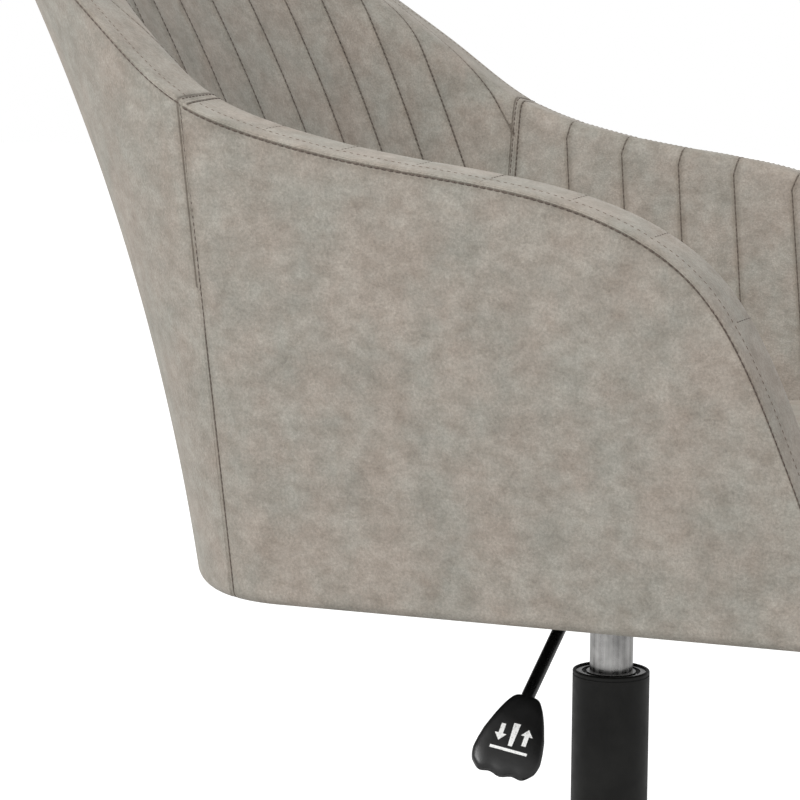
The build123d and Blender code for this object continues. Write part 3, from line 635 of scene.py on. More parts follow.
# %% Points on the back pad
CUSHION_LINE_Z = 391.0


def plan_stretch(x, half_w, depth):
    """Length along the plan's curve for one millimetre of X."""
    share = np.clip(np.abs(x) / half_w, 0, 0.985)
    return np.sqrt(1 + (depth / half_w * share / np.sqrt(1 - share**2)) ** 2)


def back_face(share, inset, z):
    """A point of the back's wall: X, Y and Z."""
    x, y = back_xy(turn_at(share, z, inset), z, inset)
    return x, y, z


def back_skin(column, row):
    """The back pad's surface before any groove. Row runs from 0 to 1 over the roll and from 1 to 2 down the
    inside."""
    inset, drop = section_at(np.clip(row, 0, 1))
    over = back_roll(column, inset, drop)
    face_top = back_roll(column, np.full(column.shape, WALL), np.full(column.shape, ROLL[-1][1]))[2]
    z = face_top + np.clip(row - 1, 0, 1) * (CUSHION_LINE_Z - face_top)
    return [np.where(row > 1, on_face, on_roll) for on_face, on_roll in zip(back_face(column, WALL, z), over)]


def from_corner(column):
    """The distance from the nearer corner seam."""
    return np.interp(column, shares, np.minimum(ridge_length, ridge_length[-1] - ridge_length))


def back_from_line(column, row):
    """The distance from the nearest sewn line, along the surface. The lines stand in upright planes."""
    x, _, z = back_skin(column, row)
    half_w, back_y, join_y = tub_size(z)
    inset = section_at(np.clip(row, 0, 1))[0]
    return nearest(x, back_lines) * plan_stretch(x, half_w - inset, back_y - inset - join_y)


def back_pad_place(column, row):
    """A point of the back pad with its grooves and seams pressed in."""
    inset, drop = section_at(np.clip(row, 0, 1))
    z = back_skin(column, row)[2]
    dip = valley(back_from_line(column, row), groove_depth(row))
    from_seam = from_corner(column)
    dip = dip * np.clip(from_seam / 6, 0, 1) + seam_dip(from_seam) + 0.8 * np.exp(-(row / 0.05) ** 2)
    lean = math.pi / 2 * np.clip((row - 0.12) / 0.75, 0, 1)
    into = dip * np.sin(lean)
    over_x, over_y, over_z = back_roll(column, inset + into, drop + dip * np.cos(lean))
    x_in, y_in, _ = back_face(column, WALL + dip, z)
    face = row > 1
    return np.where(face, x_in, over_x), np.where(face, y_in, over_y), np.where(face, z, over_z)


# %% Points on an arm
TIP = 9.0               # an arm closes to a point over this length
arm_end = seam_s - TIP   # the length of an arm's columns, from the tip to the corner seam
FOOT = np.array([(157.0, 391.0), (-150.0, 391.0), (-166.0, 384.0), (-174.0, 374.0), (-180.0, 370.0),
                 (-190.0, 369.5)])
FOOT_OF_RIM = ((157, 120, 76, 33, -9, -54, -98, -141, -190), (157, 92, 50, 8, -34, -78, -119, -152, -181))


def arm_down(s):
    """The direction in the side view in which a drop is measured: straight down at the corner seam, and square to
    the rim further forward."""
    y, z, run_y, run_z = rim_at(s)
    square = np.clip((SEAM_Y - y) / 80, 0, 1)
    square = square**2 * (3 - 2 * square)
    return y, z, square * run_z, -(1 - square) / np.maximum(run_y, 0.3) - square * run_y


def arm_section(s, inset, drop):
    """Y and Z in the side view, for a point of the rim's section. The section closes to a point at the front."""
    close = np.clip(1 - s / TIP, 0, 1)
    size = np.sqrt(np.clip(1 - close**2, 0.0004, 1))
    inset = 24 + (inset - 24) * size
    drop = 15 + (drop - 15) * size
    y, z, down_y, down_z = arm_down(np.maximum(s, 0) + TIP)
    return y + drop * down_y, np.maximum(z + drop * down_z, UNDER_Z + 2.0), inset


def foot_point(s):
    """Where an arm's column ends, near the seat board."""
    y_rim = rim_at(np.maximum(s, 0) + TIP)[0]
    y = np.interp(-y_rim, -np.array(FOOT_OF_RIM[0], float), FOOT_OF_RIM[1])
    return y, np.interp(-y, -FOOT[:, 0], FOOT[:, 1])


def arm_pad_place(side):
    """Column is the length along the rim, row as on the back pad."""
    def place(s, row):
        inset, drop = section_at(np.clip(row, 0, 1))
        on_line = nearest(s + TIP, arm_lines)
        from_seam = arm_end - s
        dip = valley(on_line, groove_depth(row))
        dip = dip * np.clip(from_seam / 6, 0, 1) * np.clip(s / 20, 0, 1)
        dip = dip + seam_dip(from_seam) + 0.8 * np.exp(-(row / 0.05) ** 2)
        lean = math.pi / 2 * np.clip((row - 0.12) / 0.75, 0, 1)
        y_top, z_top, inset = arm_section(s, inset + dip * np.sin(lean), drop + dip * np.cos(lean))
        y_foot, z_foot = foot_point(s)
        down = np.clip(row - 1, 0, 1)
        y = y_top + (y_foot - y_top) * down
        z = z_top + (z_foot - z_top) * down
        return side * arm_x(y, z, inset), y, z
    return place


# %% The channelled pads
def pad_rows(step_mm, face_mm):
    """Row values: the roll's own rows, then even ones down the inside."""
    return np.concatenate([np.linspace(0, 1, 40), 1 + np.linspace(0, 1, int(face_mm / step_mm))[1:]])


def thick_skin(piece, thickness_mm, centre):
    """Turns the skin outward and gives it its foam's thickness inward."""
    face_away(piece, centre)
    apply(piece, "SOLIDIFY", thickness=thickness_mm * MM, offset=-1.0, use_even_offset=False)
    close_seams(piece)
    smooth(piece, 60)


def arm_columns():
    """Lengths along the rim: every 2.6 mm, and closer beside each stitch line and the corner seam."""
    even = np.arange(0, arm_end - 1.0, 2.6)
    beside = np.array([-3.2, -2.1, -1.1, 0, 1.1, 2.1, 3.2])
    close = np.concatenate([line - TIP + beside for line in arm_lines])
    edge = arm_end - np.array(BESIDE_SEAM + (6.2,))
    tip = np.array([0, 0.3, 0.8, 1.6])
    keep = even[nearest(even, np.concatenate([close, edge, tip])) > 1.0]
    return np.sort(np.concatenate([keep, close, edge, tip]))


back_columns = np.interp(graded(ridge_length[-1], 1.75, BESIDE_SEAM + (6.2,)), ridge_length, shares)
inner_back_pad = lay_grid("channelled_back_pad", back_columns, pad_rows(7.0, 420), back_pad_place,
                          lambda column, row: crease(
                              channel_crease(back_from_line(column, row), back_skin(column, row)[0], back_lines, row),
                              from_corner(column) - SEAM_STITCH))
thick_skin(inner_back_pad, 6.0, (0, 290, 560))
finish_piece(inner_back_pad, sewn_cloth, "seat", "grey_upholstery", "inner_back_pad")

for side, side_name in ((-1, "right"), (1, "left")):
    pad = lay_grid(f"channelled_arm_pad_{side_name}", arm_columns(), pad_rows(8.0, 260), arm_pad_place(side),
                   lambda s, row: crease(channel_crease(nearest(s + TIP, arm_lines), s + TIP, arm_lines, row),
                                         arm_end - s - SEAM_STITCH))
    thick_skin(pad, 6.0, (side * 262, -10, 500))
    finish_piece(pad, sewn_cloth, "seat", "grey_upholstery", f"inner_arm_pad_{side_name}")

# %% [markdown]
# ### The outer covers
# Three panels of coated cloth are stretched over the shell: one round the back, one on each arm. They are
# sewn to the rolled rim and to each other, and turn under at the bottom, where they are stapled to the board.
# Each is a grid laid on the tub's outer face. Its edges dip where the seams pull it in.

# %% Outer covers
RIM_STITCH = 1.9        # the rim seam's stitches, below the covers' top edge


def cover_path(row):
    """Inset and height of the turned-under bottom for rows from -1 to 0."""
    under = np.clip(-row * 1.6 - 0.6, 0, 1)
    bend = np.clip(-row / 0.6, 0, 1) * math.pi / 2
    inset = TURN_R * (1 - np.cos(bend)) + 34 * under
    return inset, UNDER_Z + TURN_R * (1 - np.sin(bend))


def cover_rows(length):
    """Rows for the fold, then up the side with fine ones at the top seam."""
    side_rows = graded(length, 5.0, (0.0, 1.5, 3.0)) / length
    top = 1 - np.array([0, 0.6, 1.2, 1.9, 2.6, 3.5, 4.8, 6.4, 8.6]) / length
    side_rows = np.concatenate([side_rows[side_rows < top.min() - 0.006], top[::-1]])
    return np.concatenate([np.linspace(-1, -0.62, 5), np.linspace(-0.6, 0, 9)[:-1], side_rows])


def cover_dip(from_seam, from_top):
    """How far a cover lies below the tub's face beside its seams."""
    return seam_dip(from_seam) + 0.9 * np.exp(-(from_top / 1.3) ** 2)


BACK_COVER_RUN = 380    # about how long a cover is, from its fold up to the rim
ARM_COVER_RUN = 230
OUTER_STRETCH = 1.15    # the outer back is this much longer than its ridge


def back_cover_place(column, row):
    """A place on the back cover."""
    fold_inset, fold_z = cover_path(np.clip(row, -1, 0))
    top_z = back_roll(column, np.zeros(column.shape), np.full(column.shape, SEAM_DROP))[2]
    up = np.clip(row, 0, 1)
    z = np.where(row < 0, fold_z, UNDER_Z + TURN_R + up * (top_z - UNDER_Z - TURN_R))
    from_seam = np.minimum(column, 1 - column) * ridge_length[-1] * OUTER_STRETCH
    dip = cover_dip(from_seam, np.where(row < 0, 99, (1 - up) * (top_z - UNDER_Z - TURN_R)))
    twist = np.interp(column, shares, twists) * np.clip((up - 0.6) / 0.4, 0, 1) ** 2
    inset = dip + np.where(row < 0, fold_inset, 0)
    x, y = back_xy(turn_at(column, z, inset) + twist, z, inset)
    return x, y, z


def arm_cover_place(side):
    """A place on an arm's cover. Column is the length along the rim."""
    def place(s, row):
        fold_inset, fold_z = cover_path(np.clip(row, -1, 0))
        y_top, z_top, _ = arm_section(s + 4.0, np.full(s.shape, 24.0), np.full(s.shape, SEAM_DROP))
        side_z = UNDER_Z + TURN_R
        y_foot = np.interp(s, (0, 12, arm_end), (-191.0, -187.0, SEAM_Y))
        y_foot = np.minimum(y_foot, np.interp(s, (0, 140, arm_end), (-191.0, -130.0, SEAM_Y)))
        up = np.clip(row, 0, 1)
        z_top = np.maximum(z_top, side_z + 1.5)
        y = np.where(row < 0, y_foot, y_foot + up * (y_top - y_foot))
        z = np.where(row < 0, fold_z, side_z + up * (z_top - side_z))
        dip = cover_dip(arm_end - s, np.where(row < 0, 99, (1 - up) * (z_top - side_z + 1)))
        return side * arm_x(y, z, dip + np.where(row < 0, fold_inset, 0)), y, z
    return place


def back_cover_from_line(column, row):
    """The corner seams' lines run only up the high part of the cover."""
    corner = np.where(row > 0.62, from_corner(column) * OUTER_STRETCH, 16.0)
    return crease(corner - SEAM_STITCH, (1 - row) * BACK_COVER_RUN - RIM_STITCH)


cover_columns = np.interp(graded(ridge_length[-1], 5.0, BESIDE_SEAM + (6.5, 9.0)), ridge_length, shares)
back_cover = lay_grid("outer_back_panel", cover_columns, cover_rows(BACK_COVER_RUN), back_cover_place,
                      back_cover_from_line)
thick_skin(back_cover, 2.0, (0, 150, 560))
finish_piece(back_cover, sewn_cloth, "seat", "grey_upholstery", "outer_back_cover")

arm_cover_columns = np.sort(np.concatenate([np.arange(0, seam_s - 20, 4.5),
                                            arm_end - np.array(BESIDE_SEAM + (6.5, 8.8))]))
for side, side_name in ((-1, "right"), (1, "left")):
    cover = lay_grid(f"outer_arm_panel_{side_name}", arm_cover_columns, cover_rows(ARM_COVER_RUN),
                     arm_cover_place(side),
                     lambda s, row: crease(arm_end - s - SEAM_STITCH, (1 - row) * ARM_COVER_RUN - RIM_STITCH))
    thick_skin(cover, 2.0, (side * 150, 0, 500))
    finish_piece(cover, sewn_cloth, "seat", "grey_upholstery", f"outer_arm_cover_{side_name}")

# %% [markdown]
# ## Stitches
# Each stitch is a short piece of thread between two holes, about 3 mm long at a pitch of 4 mm. One stitch is
# modelled, then copied along a line on the skin, turned to follow it. All stitches of one seam are one piece.

# %% One stitch and a sewn line
PITCH = 4.0
bpy.ops.mesh.primitive_uv_sphere_add(segments=6, ring_count=5, radius=0.5 * MM)
stitch = name_it(bpy.context.object, "one_stitch")
stitch_points = points_of(stitch)
stitch_faces = [list(face.vertices) for face in stitch.data.polygons]
bpy.data.objects.remove(stitch)


def sewn_line(name, lines, finish, width=0.85, length=3.1, pitch=PITCH, slot_name="grey_upholstery"):
    """A piece of stitches along some lines of points, in millimetres. Every line is (points, outward normals)."""
    points, faces = [], []
    for line, outward in lines:
        run = np.concatenate([[0.0], np.cumsum(np.linalg.norm(np.diff(line, axis=0), axis=1))])
        for at in np.arange(pitch / 2, run[-1], pitch):
            here = np.array([np.interp(at, run, line[:, k]) for k in range(3)])
            ahead = np.array([np.interp(min(at + 1, run[-1]), run, line[:, k]) for k in range(3)])
            back = np.array([np.interp(max(at - 1, 0), run, line[:, k]) for k in range(3)])
            along = (ahead - back) / max(np.linalg.norm(ahead - back), 1e-6)
            out = np.array([np.interp(at, run, outward[:, k]) for k in range(3)])
            across = np.cross(out, along)
            across = across / max(np.linalg.norm(across), 1e-6)
            out = np.cross(along, across)
            local = stitch_points / MM * np.array([width, width * 0.8, length])
            placed = local[:, :1] * across + local[:, 1:2] * out + local[:, 2:] * along
            faces += [[index + len(points) * len(stitch_points) for index in face] for face in stitch_faces]
            points.append((placed + here) * MM)
    mesh = bpy.data.meshes.new(name)
    mesh.from_pydata(np.concatenate(points).tolist(), [], faces)
    piece = bpy.data.objects.new(name, mesh)
    bpy.context.scene.collection.objects.link(piece)
    hold(piece)
    bpy.ops.object.mode_set(mode="EDIT")
    bpy.ops.mesh.select_all(action="SELECT")
    bpy.ops.mesh.normals_make_consistent(inside=False)
    bpy.ops.object.mode_set(mode="OBJECT")
    bpy.ops.object.shade_smooth()
    print(name, len(points), "stitches")
    return finish_piece(piece, finish, "seat", slot_name)


def follow(place, column, row, lift=0.15, nudge=0.002):
    """Points and outward normals along a line of a laid surface, lifted a little off it."""
    column, row = np.broadcast_arrays(np.asarray(column, float), np.asarray(row, float))
    here = np.stack(place(column, row), axis=1)
    side_step = np.stack(place(column + nudge, row), axis=1) - here
    up_step = np.stack(place(column, row + nudge), axis=1) - here
    out = np.cross(side_step, up_step)
    out = out / np.maximum(np.linalg.norm(out, axis=1), 1e-9)[:, None]
    return here, out, lift


def outward_from(line, centre):
    """Turns a followed line's normals away from a centre, and lifts its points."""
    here, out, lift = line
    facing = np.sign(np.sum(out * (here - np.asarray(centre, float)), axis=1))
    out = out * facing[:, None]
    return here + lift * out, out


# %% Rim seams
BACK_WALL_MIDDLE = (0, 150, 560)
rim_lines, upper_lines = [], []
fine_shares = np.linspace(0.004, 0.996, 400)
back_rim_row = np.full(400, 1 - RIM_STITCH / BACK_COVER_RUN)
arm_rim_row = np.full(300, 1 - RIM_STITCH / ARM_COVER_RUN)
rim_lines.append(outward_from(follow(back_cover_place, fine_shares, back_rim_row, 0.1, -0.001), BACK_WALL_MIDDLE))
upper_lines.append(outward_from(follow(back_pad_place, fine_shares, np.full(400, 0.21), 0.1, 0.002), (0, 150, 500)))
arm_run = np.linspace(12, seam_s - 11.0, 300)
for side in (-1, 1):
    rim_lines.append(outward_from(follow(arm_cover_place(side), arm_run, arm_rim_row, 0.1, -0.002),
                                  (side * 150, 0, 500)))
    upper_lines.append(outward_from(follow(arm_pad_place(side), arm_run, np.full(300, 0.21), 0.1, 0.002),
                                    (side * 200, 0, 450)))
sewn_line("rim_seam_stitches", rim_lines, dark_thread, width=0.8, length=3.3)
sewn_line("rim_upper_stitches", upper_lines, light_thread, width=0.55, length=2.2)

# %% Corner seams
corner_lines = []
for side in (-1, 1):
    edge = 1.0 if side < 0 else 0.0
    inward = -1 if side < 0 else 1
    over = np.concatenate([np.linspace(0.06, 1, 60), np.linspace(1.02, 1.98, 60)])
    step = SEAM_STITCH / ridge_length[-1]
    corner_lines.append(outward_from(follow(back_pad_place, np.full(120, edge + inward * step), over, 0.1,
                                            inward * 1e-4), (side * 262, 170, 560)))
    corner_lines.append(outward_from(follow(arm_pad_place(side), np.full(120, arm_end - SEAM_STITCH), over, 0.1,
                                            -0.01), (side * 262, 140, 560)))
    up = np.linspace(0.0, 0.985, 90)
    corner_lines.append(outward_from(follow(arm_cover_place(side), np.full(90, arm_end - SEAM_STITCH), up, 0.1,
                                            -0.01), (side * 150, 0, 560)))
    high = np.linspace(0.62, 0.985, 40)
    corner_lines.append(outward_from(follow(back_cover_place, np.full(40, edge + inward * step * 0.87), high, 0.1,
                                            inward * 1e-4), (0, 0, 560)))
sewn_line("corner_seam_stitches", corner_lines, dark_thread, width=0.75)

# %% Channel stitches
channel_lines = []
for line in arm_lines:
    for side in (-1, 1):
        rows = np.concatenate([np.linspace(0.3, 1, 30), np.linspace(1.02, 1.98, 40)])
        channel_lines.append(outward_from(follow(arm_pad_place(side), np.full(70, line - TIP), rows, 0.0, -0.01),
                                          (side * 262, line - 230, 500)))
stitch_rows = np.concatenate([np.linspace(0.25, 1, 30), np.linspace(1.01, 1.98, 70)])
skin_x = [back_skin(shares, np.full(shares.shape, row))[0] for row in stitch_rows]
for x in back_lines:
    inside = np.array([across.min() + 3 < x < across.max() - 3 for across in skin_x])
    rows = stitch_rows[inside]
    columns = np.array([np.interp(-x, -across, shares) for across, keep in zip(skin_x, inside) if keep])
    channel_lines.append(outward_from(follow(back_pad_place, columns, rows, 0.0, 1e-4), (x * 1.4, 420, 500)))
sewn_line("channel_stitches", channel_lines, dark_thread, width=0.55, length=3.0)

# %% [markdown]
# ## Seat cushion
# The cushion is a slab of foam in a boxed cover. Its packed block is copied, remeshed evenly and blown up a
# little as cloth, with no gravity, so its faces crown and its sides pull in. How far a point may move is
# capped. The seam along its front edge is pressed in afterwards, and sewn on both sides.

# %% Seat cushion
CUSHION_MOVE = 13.0
cushion = nodes["seat_cushion"].copy()
cushion.data = nodes["seat_cushion"].data.copy()
for key in list(cushion.keys()):
    del cushion[key]
cushion.parent = None
bpy.context.scene.collection.objects.link(cushion)
name_it(cushion, "seat_cushion_crowned")
close_seams(cushion, 0.05 * MM)
start_points = points_of(cushion)
start_middle = (start_points.min(0) + start_points.max(0)) / 2
move_points(cushion, start_middle + (start_points - start_middle) * np.array([0.975, 0.975, 0.8]))
apply(cushion, "REMESH", mode="VOXEL", voxel_size=6 * MM)


def puff(piece, pressure, cap_mm):
    """Blows the piece up as cloth without gravity, and caps how far each point moves."""
    before = points_of(piece)
    hold(piece)
    cloth_modifier = piece.modifiers.new("Puff", "CLOTH")
    settings = cloth_modifier.settings
    settings.quality = 6
    settings.use_pressure = True
    settings.uniform_pressure_force = pressure
    settings.effector_weights.gravity = 0.0
    settings.mass = 0.3
    settings.tension_stiffness = 15
    settings.compression_stiffness = 15
    settings.bending_stiffness = 0.6
    cloth_modifier.point_cache.frame_start = 1
    cloth_modifier.point_cache.frame_end = 20
    scene = bpy.context.scene
    for number in range(1, 21):
        scene.frame_set(number)
    bpy.ops.object.modifier_apply(modifier=cloth_modifier.name)
    scene.frame_set(1)
    moved = points_of(piece) - before
    far = np.linalg.norm(moved, axis=1)
    most = cap_mm * MM
    share = np.where(far > 1e-9, most * np.tanh(far / most) / np.maximum(far, 1e-9), 1.0)
    move_points(piece, before + moved * share[:, None])
    print(piece.name, "puffed by up to", round(float(far.max() / MM), 1), "mm, kept to", cap_mm)


puff(cushion, 4.0, CUSHION_MOVE)
apply(cushion, "SMOOTH", factor=0.5, iterations=6)
apply(cushion, "SUBSURF", levels=1, render_levels=1)
low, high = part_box("seat_cushion")
points = points_of(cushion)
points[:, 2] += low.z - points[:, 2].min()
move_points(cushion, points)
print("cushion top", round(float(points[:, 2].max() / MM)), "mm")


def press_seam(piece, path, depth_mm, width_mm):
    """Presses the skin in beside a path, as a seam does."""
    points = points_of(piece)
    tree = BVHTree.FromPolygons([tuple(p) for p in points], [tuple(f.vertices) for f in piece.data.polygons])
    snapped, outward = [], []
    for place in path:
        spot, normal, _, _ = tree.find_nearest(Vector(place) * MM)
        snapped.append(np.array(spot) / MM)
        outward.append(np.array(normal))
    snapped, outward = np.array(snapped), np.array(outward)
    near = np.where((points / MM > snapped.min(0) - 12).all(1) & (points / MM < snapped.max(0) + 12).all(1))[0]
    gap = np.linalg.norm(points[near, None, :] / MM - snapped[None, :, :], axis=2)
    closest = gap.argmin(1)
    deep = depth_mm * np.exp(-(gap.min(1) / width_mm) ** 2)
    points[near] -= outward[closest] * deep[:, None] * MM
    move_points(piece, points)
    return snapped - outward * depth_mm * 0.6, outward


seam_x = np.linspace(-188, 188, 190)
front_seam = [(x, low.y / MM - 6, high.z / MM - 6 - 3 * (x / 190) ** 4) for x in seam_x]
seam_points, seam_out = press_seam(cushion, front_seam, 2.2, 3.0)
smooth(cushion, 60)
finish_piece(cushion, cloth, "seat", "grey_upholstery", "seat_cushion")
sewn_line("cushion_front_stitches", [(seam_points + np.array([0, 0, 3.4]) + seam_out * 1.3, seam_out),
                                     (seam_points - np.array([0, 0, 3.4]) + seam_out * 1.3, seam_out)], dark_thread)

# %% [markdown]
# ### Front border
# Below the cushion a strip of the same cloth is pulled over the board's front edge. A block is beveled and
# subdivided so that its edges round over, and its front swells a little over the thin foam.

# %% Front border
low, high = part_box("front_border")
low.z = UNDER_Z * MM
let_go()
bpy.ops.mesh.primitive_cube_add(size=1, location=(low + high) / 2, scale=(high - low))
border = name_it(bpy.context.object, "front_border_padded")
bpy.ops.object.transform_apply(location=True, rotation=False, scale=True)
bpy.ops.object.mode_set(mode="EDIT")
bpy.ops.mesh.select_all(action="SELECT")
bpy.ops.mesh.bevel(offset=5 * MM, segments=5, affect="EDGES")
bpy.ops.mesh.subdivide(number_cuts=3)
bpy.ops.object.mode_set(mode="OBJECT")
points = points_of(border)
share = np.clip((points[:, 0] - low.x) / (high.x - low.x), 0, 1)
front = points[:, 1] < low.y + 6 * MM
points[front, 1] -= (1.6 * MM * np.sin(np.pi * share) ** 0.5)[front]
move_points(border, points)
close_seams(border)
smooth(border, 50)
finish_piece(border, cloth, "seat", "grey_upholstery", "front_border")

# %% [markdown]
# ### Dust cover
# A sheet of black spunbonded cloth closes the underside round the seat plate. It is stretched flat and held
# by staples through the covers' turned edges. A ring grid is laid between the plate's cut-out and the outline.

# %% Dust cover
DUST_INSET = 24.0
CUT_X, CUT_Y = 91.0, 76.0
plan_turns = np.linspace(0, math.pi, 200)
dust_half_w = tub_size(BOTTOM_Z)[0] - DUST_INSET
outline = np.concatenate([np.stack(back_xy(plan_turns, BOTTOM_Z, DUST_INSET), axis=1),
                          [(-dust_half_w, -178.0), (dust_half_w, -178.0)]])


def reach(angle, corners):
    """How far a closed outline lies from the column's axis, in each direction."""
    closed = np.concatenate([corners, corners[:1]])
    even = np.concatenate([np.linspace(a, b, 40, endpoint=False) for a, b in zip(closed[:-1], closed[1:])])
    turns = np.arctan2(even[:, 1], even[:, 0])
    order = np.argsort(turns)
    return np.interp(angle, turns[order], np.hypot(*even.T)[order], period=2 * math.pi)


cut = np.array([(CUT_X, -CUT_Y), (CUT_X, CUT_Y), (-CUT_X, CUT_Y), (-CUT_X, -CUT_Y)])


def dust_place(angle, row):
    """A place on the dust cover: row 0 is the cut-out and 1 the outline."""
    far = reach(angle, cut) * (1 - row) + reach(angle, outline) * row
    fall = np.clip(row / 0.85, 0, 1)
    return far * np.cos(angle), far * np.sin(angle), BOTTOM_Z + 0.6 - (BOTTOM_Z - UNDER_Z + 1.4) * fall**1.4


dust = lay_grid("underside_cloth_sheet", np.linspace(-math.pi, math.pi, 181), np.linspace(0, 1, 14), dust_place)
face_away(dust, (0, 0, 500))
close_seams(dust)
apply(dust, "SOLIDIFY", thickness=0.5 * MM, offset=0.0)
close_seams(dust)
finish_piece(dust, underside_cloth, "seat", "underside_cloth", "dust_cover")
ring = np.linspace(-math.pi, math.pi, 400)
staple_line = np.stack(dust_place(ring, np.full(400, 0.965)), axis=1) - np.array([0, 0, 0.45])
sewn_line("dust_cover_staples", [(staple_line, np.tile([0.0, 0.0, -1.0], (400, 1)))], zinc_steel, width=0.9,
          length=9.0, pitch=34.0, slot_name="zinc_steel")

# %% [markdown]
# ## Lever handle
# The handle is a flared nylon paddle, narrow where it grips the rod and wide at the fingers, with a printed
# mark. A UV sphere becomes the paddle: its poles are the two ends, its rings are squared off to a flat
# section, and the far edge and the underside are scalloped for the fingers.

# %% Lever handle
PADDLE_SLOPE = math.radians(47.0)
PADDLE_TILT = math.radians(-20.0)
PADDLE_LENGTH = 52.0
PADDLE_HALF_T = 5.0
PADDLE_LEAN = 0.075      # the handle sits a little askew on its rod
_, handle_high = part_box("lever_handle")
paddle_along = np.array([-math.cos(PADDLE_SLOPE), 0.0, -math.sin(PADDLE_SLOPE)])
paddle_up = np.array([-math.sin(PADDLE_SLOPE), 0.0, math.cos(PADDLE_SLOPE)])
paddle_side = np.cross(paddle_up, paddle_along)
tilted_side = paddle_side * math.cos(PADDLE_TILT) + paddle_up * math.sin(PADDLE_TILT)
tilted_up = paddle_up * math.cos(PADDLE_TILT) - paddle_side * math.sin(PADDLE_TILT)
neck_place = (np.array([handle_high.x, 0.0, handle_high.z]) / MM
              - PADDLE_HALF_T * np.array([math.sin(PADDLE_SLOPE), 0.0, math.cos(PADDLE_SLOPE)]) - 3.0 * paddle_along)


def paddle_point(length, side, up):
    """A point from the neck along the paddle, across it and above its middle."""
    side = side - PADDLE_LEAN * length
    return (neck_place[None, :] + np.outer(length, paddle_along) + np.outer(side, tilted_side)
            + np.outer(up, tilted_up))


def squared(value, power):
    """A sine or cosine pushed outward, which squares a circle."""
    return np.sign(value) * np.abs(value) ** power


let_go()
bpy.ops.mesh.primitive_uv_sphere_add(segments=96, ring_count=72, radius=1)
paddle = name_it(bpy.context.object, "lever_paddle")
ball = points_of(paddle)
polar = np.arccos(np.clip(ball[:, 2], -1, 1))
around = np.arctan2(ball[:, 1], ball[:, 0])
length = PADDLE_LENGTH * (1 - squared(np.cos(polar), 0.42)) / 2
swell = np.abs(np.sin(polar)) ** 0.42
half_w = np.interp(length, (0, 4, 16, 28, 40, 47, 52), (10.0, 10.8, 15.0, 18.8, 20.4, 20.2, 18.0))
half_t = np.interp(length, (0, 10, 30, 50, 55), (5.8, 5.6, 5.0, 4.6, 4.2))
side = swell * half_w * squared(np.cos(around), 0.5)
up = swell * half_t * squared(np.sin(around), 0.55)
scallop = np.cos(2 * math.pi * side / 13.4)
length = length + 1.0 * scallop * (length / PADDLE_LENGTH) ** 8
below = np.clip(-up / half_t, 0, 1) ** 2
up = up + below * 0.9 * (0.5 + 0.5 * scallop) * np.clip((length - 26) / 14, 0, 1)
move_points(paddle, paddle_point(length, side, up) * MM)
close_seams(paddle)
smooth(paddle, 50)
finish_piece(paddle, handle_nylon, "lever", "handle_plastic", "lever_handle")

# %% [markdown]
# ### Printed mark
# The handle says which way it works by a plain printed mark: an arrow up and an arrow down beside a bar.
# Each arrow is a triangle and a bar, laid a hair above the paddle as a thin layer of ink.

# %% Printed mark
print_white, print_tree, print_shader = new_finish("pad_printed_white", Roughness=0.55)
worn = noise(print_tree, 1.2, detail=3)
print_tree.links.new(ramp(print_tree, worn, [(0.25, "BDBDBB"), (0.5, "F0F0EE")]), print_shader.inputs["Base Color"])


def flat_shape(corners):
    """A flat outline in the paddle's own length and side."""
    let_go()
    bpy.ops.mesh.primitive_circle_add(vertices=len(corners), radius=1, fill_type="NGON")
    piece = bpy.context.object
    line = np.array(corners, float)
    move_points(piece, paddle_point(line[:, 0], line[:, 1], np.full(len(line), 5.12)) * MM)
    return piece


def arrow(middle, side, way):
    """A seven-cornered arrow along the paddle."""
    shape = [(5.5, 0), (1.0, 3.4), (1.0, 1.3), (-5.5, 1.3), (-5.5, -1.3), (1.0, -1.3), (1.0, -3.4)]
    return [(middle + way * a, side + b) for a, b in shape]


shapes = [flat_shape(arrow(28, -7.5, 1)), flat_shape(arrow(28, 7.5, -1)),
          flat_shape([(37.5, -11), (37.5, 11), (39.2, 11), (39.2, -11)]),
          flat_shape([(20.5, -2), (20.5, 2), (35.5, 1.2), (35.5, -1.2)])]
let_go()
for shape in shapes:
    shape.select_set(True)
bpy.context.view_layer.objects.active = shapes[0]
bpy.ops.object.join()
mark = name_it(bpy.context.object, "lever_printed_mark")
apply(mark, "SOLIDIFY", thickness=0.35 * MM, offset=0.0)
close_seams(mark, 0.001 * MM)
finish_piece(mark, print_white, "lever", "handle_plastic")

# %% [markdown]
# ## Camera, floor and light
# The chair is seen from its right, a little behind the arm and from above the seat, through a long lens.
# A white floor and an even sky keep the picture clean; the sky lights the chair less than it shows, so that the
# large soft light at the chair's right and rear shapes the outside and leaves the inside darker.

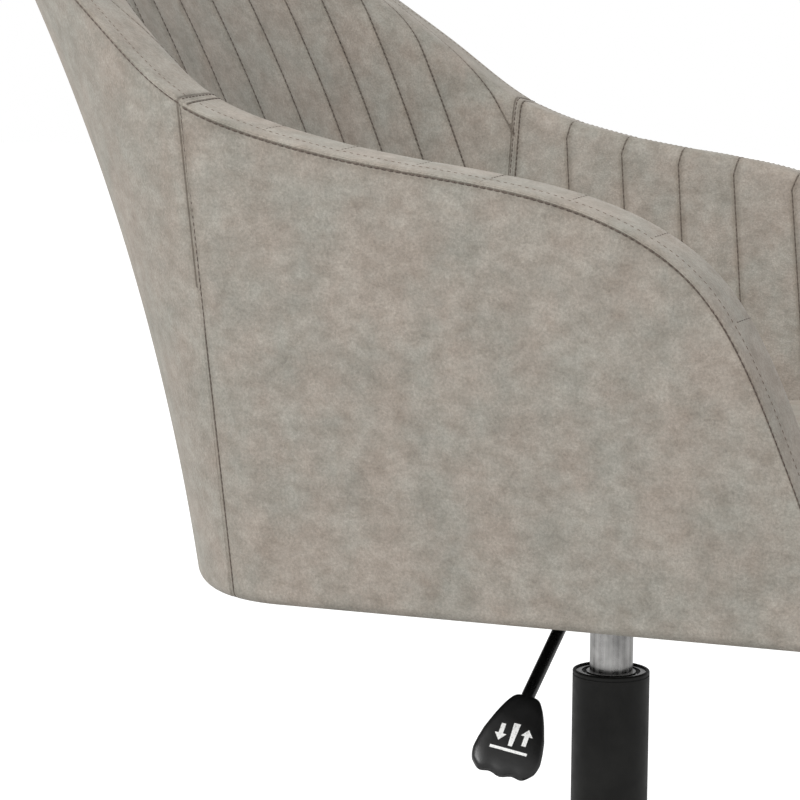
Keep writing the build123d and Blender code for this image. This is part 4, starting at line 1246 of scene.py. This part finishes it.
# %% Camera
HEADING = math.radians(22.0)
PITCH_DOWN = math.radians(6.92)
ROLL_ANGLE = math.radians(0.4)
right = Vector((math.sin(HEADING), -math.cos(HEADING), 0))
ahead = Vector((math.cos(HEADING) * math.cos(PITCH_DOWN), math.sin(HEADING) * math.cos(PITCH_DOWN),
                -math.sin(PITCH_DOWN)))
upward = right.cross(ahead)
rolled_right = right * math.cos(ROLL_ANGLE) + upward * math.sin(ROLL_ANGLE)
rolled_up = upward * math.cos(ROLL_ANGLE) - right * math.sin(ROLL_ANGLE)
lens = bpy.data.cameras.new("camera")
lens.sensor_width = 36.0
lens.lens = 110.66
camera = bpy.data.objects.new("camera", lens)
camera.matrix_world = Matrix((rolled_right, rolled_up, -ahead)).transposed().to_4x4()
camera.location = (-1.503, -0.458, 0.655)
bpy.context.scene.collection.objects.link(camera)
bpy.context.scene.camera = camera

# %% Floor, sky and light
let_go()
bpy.ops.mesh.primitive_plane_add(size=60)
floor = name_it(bpy.context.object, "floor")
floor_white, floor_tree, floor_shader = new_finish("floor_white", Roughness=0.9)
floor_shader.inputs["Base Color"].default_value = (0.62, 0.62, 0.62, 1)
floor_shader.inputs["Emission Color"].default_value = (1, 1, 1, 1)


def seen_or_not(tree, when_lighting, when_seen):
    """One value for light that falls on the chair and another for what the camera sees directly."""
    seen = add_node(tree, "ShaderNodeLightPath").outputs["Is Camera Ray"]
    return to_range(tree, seen, when_lighting, when_seen, 0.0, 1.0)


floor_tree.links.new(seen_or_not(floor_tree, 0.0, 0.62), floor_shader.inputs["Emission Strength"])
floor.data.materials.append(floor_white)

world = bpy.data.worlds.new("even_white_sky")
world.use_nodes = True
sky = world.node_tree.nodes["Background"]
sky.inputs["Color"].default_value = (1, 1, 1, 1)
world.node_tree.links.new(seen_or_not(world.node_tree, 0.74, 1.0), sky.inputs["Strength"])
bpy.context.scene.world = world
bpy.context.scene.view_settings.view_transform = "Standard"


def soft_light(name, place, aim, size, watts):
    """A square light turned toward a point."""
    lamp = bpy.data.lights.new(name, "AREA")
    lamp.shape = "SQUARE"
    lamp.size = size
    lamp.energy = watts
    holder = bpy.data.objects.new(name, lamp)
    holder.location = place
    holder.rotation_euler = (Vector(aim) - Vector(place)).to_track_quat("-Z", "Y").to_euler()
    bpy.context.scene.collection.objects.link(holder)


soft_light("key", (-2.4, 0.9, 2.6), (0, 0, 0.5), 1.8, 92)
soft_light("front_fill", (0.6, -2.6, 2.0), (0, 0, 0.5), 1.6, 6)
